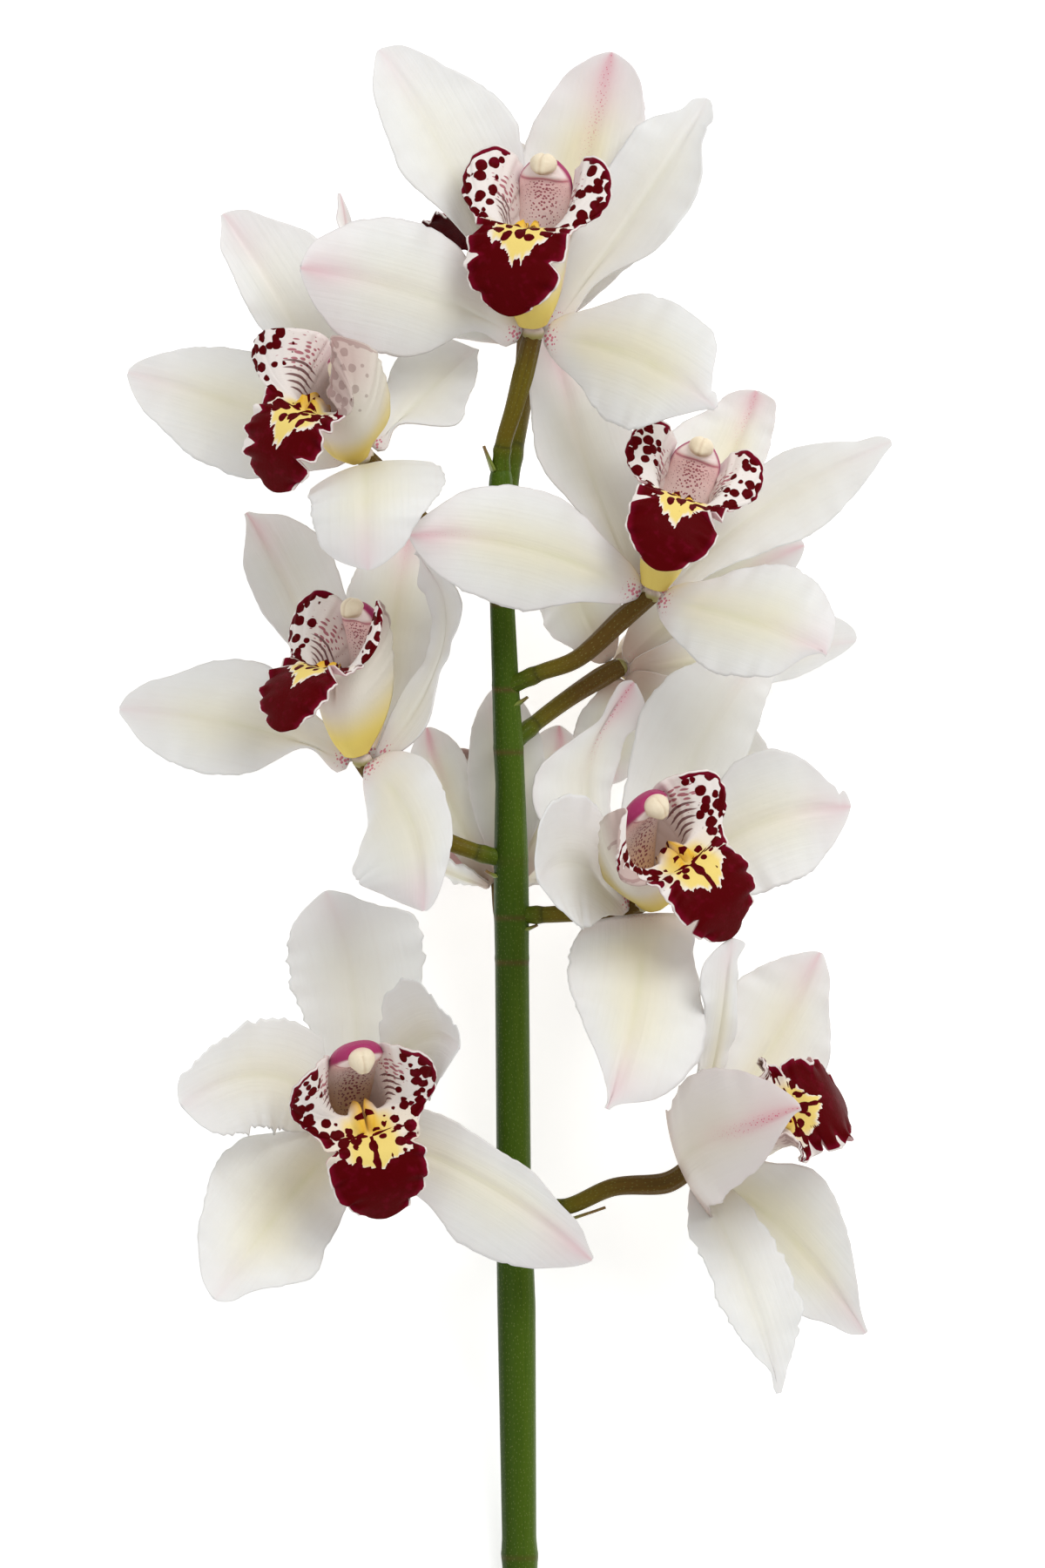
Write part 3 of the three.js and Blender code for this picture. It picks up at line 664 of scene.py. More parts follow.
@dataclass(frozen=True)
class Tepal:
    """One sepal or petal.

    mid and tip are places of its midrib, face is the way it faces and curl the angle by which each
    margin curls forward. left and right are the widths from the midrib to each margin, seen from
    the facing side with the tip up, at seven places that crowd towards the tip. waves is the
    height of its margins' waves, cream and blush are strengths of its tints, shade is the strength
    of a painted shade over the whole tepal, and ragged is the unevenness of its outline. claw is
    the width of its foot as a share of its widest half.
    Each nick has a place along, a side and a depth as a share of the width.
    """

    mid: Triple
    tip: Triple
    face: Triple
    curl: Pair
    left: Widths
    right: Widths
    waves: float = 0.6
    cream: float = 1.0
    blush: float = 1.0
    ragged: float = 0.25
    # strength of painted shade laid over the whole tepal
    shade: float = 0.0
    claw: float = 0.3
    nicks: tuple[Triple, ...] = ()

    TIP_HALF: ClassVar[float] = 0.6
    LEAST_HALF: ClassVar[float] = 0.3
    CROWDING: ClassVar[float] = 1.6
    CLAW_START: ClassVar[Pair] = (3.4, -0.6)  # out from the bloom's axis, and along it
    BROAD_CLAW: ClassVar[float] = 0.8  # from here on the foot isn't rounded
    CLAW_ROUND: ClassVar[float] = 0.07
    FLATTEST: ClassVar[float] = 0.01  # the curl of a flat margin, which isn't quite zero
    NICK: ClassVar[float] = 0.022  # a nick's length
    BACK_PATTERN: ClassVar[Array] = np.array([0.0, 0.0, 3.1])  # moves the pattern on the back
    ROWS: ClassVar[int] = 57
    COLUMNS: ClassVar[int] = 31
    WHITE: ClassVar[Triple] = (0.78, 0.785, 0.77)
    CREAM: ClassVar[Triple] = (0.77, 0.72, 0.51)
    PINK: ClassVar[Triple] = (0.70, 0.36, 0.42)
    GREEN: ClassVar[Triple] = (0.55, 0.58, 0.25)
    FLESH: ClassVar[Triple] = (0.80, 0.58, 0.54)
    BROWN: ClassVar[Triple] = (0.34, 0.20, 0.12)
    PAINTED_SHADE_GREY: ClassVar[Triple] = (0.60, 0.46, 0.42)

    def half_width(self, k: Array, widths: Widths) -> Array:
        """Width of one side: a claw, the seven widths, and a blunt tip."""
        claw = self.claw * max(*self.left, *self.right)
        half = between(np.array([claw, *widths, self.TIP_HALF]), k)
        if self.claw < self.BROAD_CLAW:
            rounded = 1 - (1 - np.clip(k / self.CLAW_ROUND, 0, 1)) ** 2
            half = half * (0.35 + 0.65 * np.sqrt(rounded))
        return np.maximum(half, self.LEAST_HALF)[:, None]

    def shell(self, bloom: "Bloom", seed: int) -> Shell:
        """Makes the tepal's blade.

        The middle line is a parabola through claw, middle and tip. Arcs of the half width, curled
        to their own radius on each side, carry the blade, whose margins wave.

        Args:
            bloom: The bloom it grows on.
            seed: Number that sets its small irregularities.

        Returns:
            The blade with its tint and sheet fields.
        """
        k = np.linspace(0.0, 1.0, self.ROWS)
        t = (1 - (1 - k) ** self.CROWDING)[:, None]
        s = np.linspace(-1.0, 1.0, self.COLUMNS)
        s = (np.sign(s) * np.abs(s) ** 0.8)[None, :]
        mid, tip, face = (np.array(v, float) for v in (self.mid, self.tip, self.face))
        out, along = self.CLAW_START
        radial = mid - bloom.base
        radial = unit(radial - bloom.n * (radial @ bloom.n)) * out * bloom.size
        start = bloom.place(along, 0.0, 0.0) + radial
        line = start * (2 * t - 1) * (t - 1) + mid * 4 * t * (1 - t) + tip * t * (2 * t - 1)
        tangent = unit(start * (4 * t - 3) + mid * (4 - 8 * t) + tip * (4 * t - 1))
        side = unit(np.cross(tangent, face))
        normal = np.cross(side, tangent)

        left = s < 0
        half = np.where(left, self.half_width(k, self.left), self.half_width(k, self.right))
        half = half * (1 + 0.072 * self.ragged * wander(t * 3.1 + (s > 0) * 0.37, seed, 9))
        for at, hand, deep in self.nicks:
            half = half * (1 - deep * bump(at, self.NICK, k)[:, None] * (s * hand > 0))
        curl = np.where(left, *self.curl)
        curl = np.where(np.abs(curl) < self.FLATTEST, self.FLATTEST, curl)
        turned = curl * np.abs(s)
        across = np.sign(s) * half * np.sin(turned) / curl
        forward = half * (1 - np.cos(turned)) / curl
        envelope = np.sin(math.pi * np.clip(t, 0.02, 0.98)) ** 0.5
        ripple = np.where(left, wander(t * 2.3, seed + 50, 4), wander(t * 2.3, seed + 90, 4))
        forward = forward + self.waves * ripple * np.abs(s) ** 2.2 * envelope
        forward = forward - 0.5 * bump(0.0, 0.1, s) * span(0.02, 0.3, 0.8, 1, t)
        places = line[:, None] + side[:, None] * across[..., None]
        places = places + normal[:, None] * forward[..., None]

        thickness = 0.42 * (1 - 0.62 * np.abs(s) ** 1.5) * (1 - 0.45 * t) + 0.06
        sheet = vectors(across, t * np.linalg.norm(tip - start), seed * 7.3)
        front = {"tint": self.tint(s, t, seed, 1.0), "sheet": sheet}
        rear = {"tint": self.tint(s, t, seed + 1, 0.0), "sheet": sheet + self.BACK_PATTERN}
        return blade(places, thickness, front, rear)

    def tint(self, s: Array, t: Array, seed: int, facing: float) -> Array:
        """The petal's colours: white, a cream band from the base, a pink midrib and tip.

        Args:
            s: Place across, -1 to 1.
            t: Place along, 0 to 1.
            seed: Number that sets small irregularities.
            facing: 1 on the face, 0 on the back.

        Returns:
            Colours with the reach of the specks as their fourth value.
        """
        drift = s + 0.05 * wander(t * 1.3, seed, 3)
        band = bump(0.0, 0.55, drift) * span(0.02, 0.25, 0.6, 1.0, t)
        line = bump(0.0, 0.05, drift) * span(0.05, 0.3, 0.6, 0.9, t)
        rib = bump(0.0, 0.10 + 0.06 * self.blush, drift) * smooth(0.35, 0.9, t)
        tip = smooth(0.70, 1.0, t) * bump(0.0, 0.8, drift)
        flush = bump(0.0, 0.3, drift) * smooth(0.6, 1.0, t)
        edge = np.abs(s) ** 6 * 0.08
        pink = (0.15 + 0.25 * (1 - facing)) * rib + 0.38 * tip + 0.20 * flush + edge
        colours = painted(
            self.WHITE, np.broadcast_shapes(s.shape, t.shape),
            (self.CREAM, 0.68 * self.cream * band),
            (self.GREEN, 0.16 * self.cream * line),
            (self.PINK, self.blush * pink),
            (self.FLESH, 0.28 * smooth(0.16, 0.03, t)),
            (self.BROWN, 0.75 * (1 - facing) * smooth(0.34, 0.04, t)),
            # Painted shade: a tepal that lies in shade is darkened towards rose-grey by its shade
            # strength.
            (self.PAINTED_SHADE_GREY, self.shade),
        )
        specks = 0.50 * smooth(0.095, 0.03, t) * bump(0.0, 0.6, s) * (0.3 + 0.7 * facing)
        specks = specks * (1 - 0.7 * smooth(0.5, 0.8, self.claw))
        return with_alpha(colours, specks + 0.24 * rib * smooth(0.8, 1.2, self.blush))


def plain(
    mid: Triple, tip: Triple, face: Triple, curl: float, half: float, **looks: float
) -> Tepal:
    """A regular oval tepal, the same on both sides.

    Args:
        mid: Place of the middle of its midrib.
        tip: Place of its tip.
        face: The way it faces.
        curl: Curl of both margins.
        half: Its widest half.
        looks: Strengths of its tints, by name.

    Returns:
        The tepal.
    """
    widths = tuple(half * share for share in EVEN_SHARES)
    return Tepal(mid, tip, face, (curl, curl), widths, widths, **looks)


@dataclass(frozen=True)
class LipShape:
    """The lip in even steps along its midline, as [axis, lip side, right] places.

    Each half is a quadratic curve from the midline over a pulling point to the margin. The margins
    lead forward as two side lobes, then comes a waist, and the mid lobe folds back about the hinge.
    """

    LOBES_END: ClassVar[Pair] = (0.66, 0.70)  # where the side lobes' paint fades along t
    MID_START: ClassVar[Pair] = (0.665, 0.70)  # where the mid lobe's paint sets in
    WHITE: ClassVar[Triple] = (0.84, 0.78, 0.74)
    BLUSH: ClassVar[Triple] = (0.84, 0.62, 0.58)
    YELLOW: ClassVar[Triple] = (0.86, 0.66, 0.17)
    ORANGE: ClassVar[Triple] = (0.84, 0.48, 0.04)
    CREAM: ClassVar[Triple] = (0.76, 0.71, 0.62)
    OCHRE: ClassVar[Triple] = (0.79, 0.61, 0.11)
    RUSSET: ClassVar[Triple] = (0.48, 0.32, 0.30)
    ROSE: ClassVar[Triple] = (0.56, 0.28, 0.32)
    CRIMSON: ClassVar[Triple] = (0.07, 0.001, 0.003)

    middle: tuple[Triple, ...] = (
        (2, 4.2, 0), (6, 6.8, 0), (11, 8.4, 0), (16, 9.3, 0), (19.5, 9.7, 0), (21.5, 9.9, 0),
        (22.7, 10, 0), (23.6, 10.2, 0), (24.6, 10.7, 0), (26, 12.6, 0), (26, 17.2, 0),
        (21.5, 22.8, 0), (13.5, 26.6, 0),
    )
    pull: tuple[Triple, ...] = (
        (2, 4.8, 2.4), (6, 7.6, 5.6), (12, 9.8, 9), (18, 10.5, 10.5), (23, 9.8, 10.5),
        (26.5, 9, 11.5), (28, 9.5, 13.5), (27.5, 10.3, 13.5), (26.5, 11, 9.5), (26.5, 12, 5.5),
        (26.5, 16.5, 7), (22, 22.8, 6.3), (13.8, 26.5, 3.0),
    )
    margin: tuple[Triple, ...] = (
        (2.5, 1.2, 3.2), (8, -2.2, 4.6), (17, -6.6, 4.8), (27, -7.6, 5.0), (36, -6.2, 6.2),
        (41, -2.2, 10.6), (38.8, 0.5, 15.8), (32, 4, 17), (27.5, 8, 13.2), (26.5, 12, 11.2),
        (24.2, 17.8, 11.4), (19.5, 22.8, 10.2), (15.2, 25.3, 5.0),
    )
    crest_spots: tuple[tuple[float, float, float, float, int], ...] = (
        (4.3, 0.700, 1.2, 0.013, 0), (6.9, 0.722, 1.5, 0.010, 0), (2.9, 0.752, 0.9, 0.018, 0),
        (0.3, 0.785, 0.8, 0.030, 0), (5.2, 0.742, 0.8, 0.008, 0), (2.7, 0.806, 0.9, 0.018, 1),
        (5.2, 0.780, 1.3, 0.012, 1), (7.4, 0.755, 1.2, 0.010, 1),
    )
    hinge: Pair = (24.6, 10.7)
    fold_turn: float = math.radians(60)
    fold_span: Pair = (0.68, 0.85)
    keel_at: float = 1.9
    notch: float = 0.011
    longer_from: float = 27.0
    rows: int = 151
    columns: int = 67

    def form(self, bloom: "Bloom", k: Array, s: Array, cut: Array) -> tuple[Array, Array, Array]:
        """The smooth sheet: middle (1 - u)^2 + pull 2u (1 - u) + margin u^2 on each side.

        u runs from 0 on the midline to 1 at the margin. The bloom's floor raises the throat, and
        its lobes widen the pull, the margin and the margin's back part, and lengthen the front.

        Args:
            bloom: The bloom it grows on.
            k: Places along the midline, 0 to 1.
            s: Places across as one row, -1 to 1.
            cut: Share of the width that the notches take.

        Returns:
            The sheet as [axis, lip side, right] places, its midline and its margin.
        """
        middle, pull, margin = (
            between(np.array(rows, float), k)[:, None]
            for rows in (self.middle, self.pull, self.margin)
        )
        t = k[:, None]
        risen = 1 + (bloom.floor - 1) * span(0.05, 0.2, 0.52, 0.68, t)
        middle[..., 1] *= risen
        pull[..., 1] *= 0.4 + 0.6 * risen
        reach = (
            span(0.08, 0.25, 0.62, 0.70, t),
            span(0.30, 0.42, 0.62, 0.70, t),
            span(0.04, 0.14, 0.30, 0.42, t),
            np.ones_like(t),
        )
        pulled, flared, backed, lifted = (
            1 + part * (np.where(s < 0, low, high) - 1)
            for part, low, high in zip(reach, *bloom.lobes)
        )
        ahead = margin[..., 0]
        lifted = 1 + (lifted - 1) * np.maximum(ahead - self.longer_from, 0) / ahead
        u = (np.abs(s) * (1 - cut))[..., None]
        sheet = middle * (1 - u) ** 2 + pull * vectors(1.0, 1.0, pulled) * 2 * u * (1 - u)
        sheet = sheet + margin * vectors(lifted, 1.0, flared * backed) * u**2
        sheet[..., 2] *= np.sign(s)
        return sheet, middle[:, 0], margin[:, 0]

    def shell(self, bloom: "Bloom", seed: int) -> Shell:
        """Makes the lip: its form, then waves and two keels, then the fold of the mid lobe.

        Args:
            bloom: The bloom it grows on.
            seed: Number that sets its small irregularities.

        Returns:
            The blade with its tint, marks, sheet, rim and body fields.
        """
        k = np.linspace(0.0, 1.0, self.rows)
        t, s = k[:, None], np.linspace(-1.0, 1.0, self.columns)[None, :]
        cut = sum(
            deep * bump(at, self.notch, t) * (s * side > 0) for at, side, deep in bloom.notches
        )
        local, midline, margin = self.form(bloom, k, s, cut)
        run = travelled(local.swapaxes(0, 1)).T
        centre = run[:, self.columns // 2][:, None]
        x = run - centre
        gap = run[:, -1:] - centre - np.abs(x)

        lobe = smooth(0.70, 0.78, t)
        edge = travelled(margin)[:, None]
        frill = np.sin(edge * 1.25 + s * 2 + seed) + 0.6 * np.sin(edge * 2.3 + seed * 2.0)
        amount = 0.22 * (1 - lobe) * smooth(0.1, 0.3, t)
        amount = amount + 0.75 * lobe * (1 - smooth(0.97, 1, t) * 0.5)
        wave = frill * amount * np.abs(s) ** 3 - 5.0 * cut * np.abs(s) ** 5
        keel = bump(self.keel_at, 0.95, np.abs(x)) * span(0.2, 0.45, 0.60, 0.735, t)
        keel = keel * (2.0 + 2.4 * bloom.floor)
        local = local + normals(local) * (wave - keel)[..., None]

        angle = (bloom.fold - 1) * self.fold_turn * smooth(*self.fold_span, t)
        n0, d0 = self.hinge
        n, d = local[..., 0] - n0, local[..., 1] - d0
        places = bloom.place(
            n0 + n * np.cos(angle) - d * np.sin(angle),
            d0 + n * np.sin(angle) + d * np.cos(angle),
            local[..., 2],
        )
        fields = {
            "sheet": vectors(x, travelled(midline)[:, None], seed * 5.7),
            "rim": vectors(gap, 0.0, 0.0),
            "body": local + np.array([seed * 31.0, 0.0, 0.0]),
        }
        outside = self.outer_paint(bloom, s, t, gap) | fields
        inside = self.inner_paint(bloom, seed, s, t, x, gap) | fields
        return blade(places, 0.3 * (1 - 0.6 * np.abs(s) ** 2) + 0.1, outside, inside)

    def crest_marks(
        self, bloom: "Bloom", seed: int, s: Array, t: Array, wide: Array, depth: Array
    ) -> Array:
        """Reach of the marks on the yellow crest: a scatter at its sides, and the placed spots.

        Each spot has a place across and along, a breadth and a length, and a 1 where it gives way
        to the line down the midline.

        Args:
            bloom: The bloom, which gives the yellow patch and the midline's strength.
            seed: Number that sways the spots.
            s: Places across, -1 to 1.
            t: Places along the midline, 0 to 1.
            wide: Millimetres from the midline.
            depth: Millimetres inside the patch's edge.

        Returns:
            The reach at each place.
        """
        start = bloom.patch[0]
        reach = 0.40 * span(0.58, 0.64, start + 0.05, start + 0.09, t) * smooth(2.8, 3.6, wide)
        reach = reach * (1 + 0.35 * smooth(5.0, 8.0, wide))
        for k, (aside, along, breadth, length, gives_way) in enumerate(self.crest_spots):
            sway = 1 + 0.16 * np.sin(seed * 7.1 + k * 3.0 + (s > 0) * 2.4)
            spot = bump(aside * sway, breadth, wide) * bump(along, length * sway, t)
            spot = spot * (1 - bloom.stripe * gives_way)
            reach = np.maximum(reach, 1.4 * spot * smooth(-0.5, 0.8, depth))
        return reach

    def inner_paint(
        self, bloom: "Bloom", seed: int, s: Array, t: Array, x: Array, gap: Array
    ) -> dict[str, Array]:
        """The ground colour and marks of the side towards the column.

        Args:
            bloom: The bloom, which gives the yellow patch and the strengths of the marks.
            seed: Number that sets small irregularities.
            s: Places across, -1 to 1.
            t: Places along the midline, 0 to 1.
            x: Millimetres across from the midline.
            gap: Millimetres from the margin.

        Returns:
            tint, whose fourth value is the strength of the marks, and marks: the reach of the
            blotches, of the fine dots and of the throat's stripes, and the margin band's strength.
        """
        wide = np.abs(x)
        side = span(0.36, 0.42, *self.LOBES_END, t)
        start, length, broad = bloom.patch
        taper = np.clip((t - start) / length, 0.0, 1.2)
        ragged = wander(wide * 0.11 + (s > 0) * 0.4, seed, 8)
        depth = broad * (1 - taper**1.3) + ragged * (0.4 + taper) - 0.3 - wide
        throat = smooth(0.44, 0.26, t) * smooth(0.2, 0.8, np.abs(s))
        yellow = smooth(0.50, 0.62, t) * smooth(0.2, 1.6, depth)
        yellow = yellow * (1 - 0.8 * smooth(4.5, 7.5, wide))
        ridge = bump(self.keel_at, 0.85, wide) * span(0.18, 0.3, 0.70, 0.75, t)
        colours = painted(
            self.WHITE, x.shape,
            (self.BLUSH, 0.3 * throat),
            (self.YELLOW, 0.95 * yellow),
            (self.ORANGE, ridge),
        )
        blotches = 0.44 * smooth(17.0, 12.0, gap) + 0.05 * smooth(7.0, 5.0, gap)
        blotches = blotches + 0.08 * smooth(0.50, 0.58, t) + 0.06 * smooth(2.6, 1.4, gap)
        blotches = side * smooth(3.6, 5.2, wide) * blotches
        dark = smooth(*self.MID_START, t) * smooth(0.3, -0.3, depth)
        crest = self.crest_marks(bloom, seed, s, t, wide, depth)
        streaks = bump(self.keel_at, 0.7, wide) * span(0.34, 0.4, 0.68, 0.71, t)
        streaks = streaks * smooth(0.2, 0.7, np.sin(t * 62 + seed + (s > 0)))
        bar = bump(0.722 - 0.004 * wide, 0.016, t) * span(0.3, 0.9, 3.6, 5.0, wide)
        line = bloom.stripe * bump(0.0, 0.75, x) * smooth(0.715, 0.73, t)
        parts = (blotches, 1.4 * dark, crest, 1.3 * streaks, 1.1 * bar, line)
        reach = np.maximum.reduce(np.broadcast_arrays(*parts))
        dots = 0.44 * bump(0.35, 0.08, t) * bump(18.0, 4.0, wide) * smooth(1.5, 3.0, gap)
        stripes = 0.95 * bump(0.33, 0.11, t) * span(7.0, 9.0, 15.5, 18.0, wide)
        marks = with_alpha(vectors(reach, dots, stripes), bloom.banded * side)
        return {"tint": with_alpha(colours), "marks": marks}

    def outer_paint(self, bloom: "Bloom", s: Array, t: Array, gap: Array) -> dict[str, Array]:
        """The ground colour and faint marks of the side away from the column.

        Args:
            bloom: The bloom, which says how far crimson covers this side.
            s: Places across, -1 to 1.
            t: Places along the midline, 0 to 1.
            gap: Millimetres from the margin.

        Returns:
            The same fields as the inner side's paint.
        """
        side = span(0.26, 0.40, *self.LOBES_END, t) * smooth(0.25, 0.6, np.abs(s))
        colours = painted(
            self.CREAM, gap.shape,
            (self.OCHRE, 0.9 * smooth(0.24, 0.08, t)),
            (self.RUSSET, 0.75 * side * smooth(18.0, 5.0, gap)),
            (self.ROSE, 0.75 * smooth(*self.MID_START, t)),
            (self.CRIMSON, bloom.flushed),
        )
        marks = with_alpha(vectors(0.40 * side, 0.0, 0.0), 1.6 * side)
        return {"tint": with_alpha(colours, 0.34), "marks": marks}


@dataclass(frozen=True)
class ColumnShape:
    """The column along its middle: axis and lip-side place, half width and half thickness."""

    CREAM: ClassVar[Triple] = (0.93, 0.76, 0.71)
    PINK: ClassVar[Triple] = (0.88, 0.54, 0.53)
    RUST: ClassVar[Triple] = (0.95, 0.58, 0.22)
    PALE: ClassVar[Triple] = (0.90, 0.78, 0.74)
    # crimson of the line under the stigma's shelf, partly its own colour and partly painted shade
    CRIMSON: ClassVar[Triple] = (0.45, 0.06, 0.12)
    BUFF: ClassVar[Triple] = (0.62, 0.5, 0.36)
    PURPLE: ClassVar[Triple] = (0.38, 0.035, 0.13)

    stations: tuple[tuple[float, float, float, float], ...] = (
        (3.2, -1.2, 3.2, 2.0), (10.0, -3.2, 5.2, 2.4), (21.0, -4.6, 6.0, 2.6),
        (29.5, -4.5, 6.2, 3.4), (35.0, -3.2, 5.8, 3.6), (38.6, -1.9, 3.0, 2.2),
    )
    flatness: float = 0.62
    squareness: float = 0.85
    lean_length: float = 38.0
    pattern_length: float = 36.0
    rows: int = 45
    columns: int = 40

    def shell(self, bloom: "Bloom", seed: int) -> Shell:
        """Makes the column: ovals along an arched middle, hollowed on the lip's side.

        Args:
            bloom: The bloom it grows in.
            seed: Number that sets its pattern's place.

        Returns:
            The skin with its tint and sheet fields.
        """
        k = np.linspace(0.0, 1.0, self.rows)
        t, turn = k[:, None], turns(self.columns)
        n, d, wide, thick = np.hsplit(between(np.array(self.stations), k), 4)
        tn, td = np.hsplit(unit(np.gradient(np.hstack([n, d]), axis=0)), 2)
        taper = np.sqrt(np.clip(1 - smooth(0.95, 1.02, t) ** 2, 0.15, 1))
        lipwards = np.sin(turn)
        front = lipwards > 0
        aside = np.sign(np.cos(turn)) * np.abs(np.cos(turn)) ** self.squareness
        hollow = bump(0.0, 0.55, aside) * smooth(0.1, 0.3, t)
        cavity = bump(0.775, 0.03, t) * bump(0.0, 0.4, aside)
        shelf = bump(0.84, 0.022, t) * bump(0.0, 0.8, aside)
        rise = thick * taper * lipwards * np.where(front, self.flatness, 1.0)
        rise = rise - (0.8 * hollow + 0.7 * cavity - 0.6 * shelf) * front
        x = wide * taper * aside
        right, lower, further = (part * (n / self.lean_length) ** 2 for part in bloom.lean)
        places = bloom.place(n - td * rise + further, d + tn * rise + lower, x + right)

        faced = smooth(0.1, 0.5, lipwards)
        rust = smooth(0.4, 0.1, bloom.dotted) * smooth(0.55, 0.1, t)
        colours = painted(
            self.CREAM, x.shape,
            (self.PINK, 0.7 * faced * smooth(0.4, 0.75, t)),
            (self.RUST, 0.8 * faced * rust),
            (self.PALE, 0.95 * faced * smooth(0.80, 0.85, t)),
            # A crimson line in the crease under the stigma's shelf: partly the column's own colour,
            # partly painted shade.
            (self.CRIMSON, 0.8 * faced * bump(0.795, 0.014, t)),
            (self.BUFF, (1 - faced) * smooth(0.5, 0.1, t)),
            (self.PURPLE, (1 - faced) * smooth(0.45, 0.75, t)),
        )
        dotted = span(bloom.dotted - 0.2, bloom.dotted + 0.2, 0.76, 0.79, t)
        dots = 0.36 * faced * bump(0.0, 0.75, aside) * dotted
        sheet = vectors(x, t * self.pattern_length, seed * 3.3)
        return skin(places, {"tint": with_alpha(colours, dots), "sheet": sheet})


@dataclass(frozen=True)
class CapShape:
    """The anther cap: a rounded hood with a middle groove and a short beak towards the lip."""

    CREAM: ClassVar[Triple] = (0.84, 0.73, 0.54)
    # brown laid on as painted shade in the seam and the groove
    BROWN: ClassVar[Triple] = (0.42, 0.22, 0.09)
    ROSE: ClassVar[Triple] = (0.62, 0.22, 0.30)

    middle: Pair = (38.2, -1.1)
    radii: Triple = (3.1, 2.5, 2.7)
    pole_gap: float = 0.06
    rows: int = 25
    columns: int = 36

    def shell(self, bloom: "Bloom", seed: int) -> Shell:
        """Makes the cap: a ball that swells to a beak and dips along its groove.

        Args:
            bloom: The bloom it grows in.
            seed: Number that sets its grain's place.

        Returns:
            The skin with its tint and sheet fields.
        """
        right, lip, along = ball(self.rows, self.columns, self.pole_gap)
        beak = bump(-0.45, 0.3, along) * smooth(0.2, 0.8, lip) * bump(0.0, 0.45, right)
        groove = bump(0.0, 0.14, right) * smooth(-0.2, 0.6, along + lip)
        crown = bump(0.0, 0.5, right) * smooth(0.3, 1.0, lip)
        swell = 1 + 0.16 * crown - 0.12 * groove + 0.22 * beak
        across, deep, lipwards = self.radii
        n0, d0 = self.middle
        aside, inward, forward = bloom.lean
        places = bloom.place(
            n0 + forward + deep * along * swell,
            d0 + inward + lipwards * lip * swell,
            aside + across * right * swell,
        )
        # Painted shade: brown along the beak's lower seam and down the middle groove, where shade
        # falls.
        painted_seam_shade = bump(-0.62, 0.16, along) * smooth(0.1, 0.5, lip)
        painted_seam_shade = painted_seam_shade + 0.6 * bump(0.0, 0.07, right) * (lip > 0)
        colours = painted(
            self.CREAM, right.shape,
            (self.BROWN, 0.5 * painted_seam_shade),
            (self.ROSE, 0.6 * smooth(0.3, 1.0, -lip)),
        )
        sheet = vectors(right * 3, lip * 3, along * 3 + seed)
        return skin(places, {"tint": with_alpha(colours), "sheet": sheet})


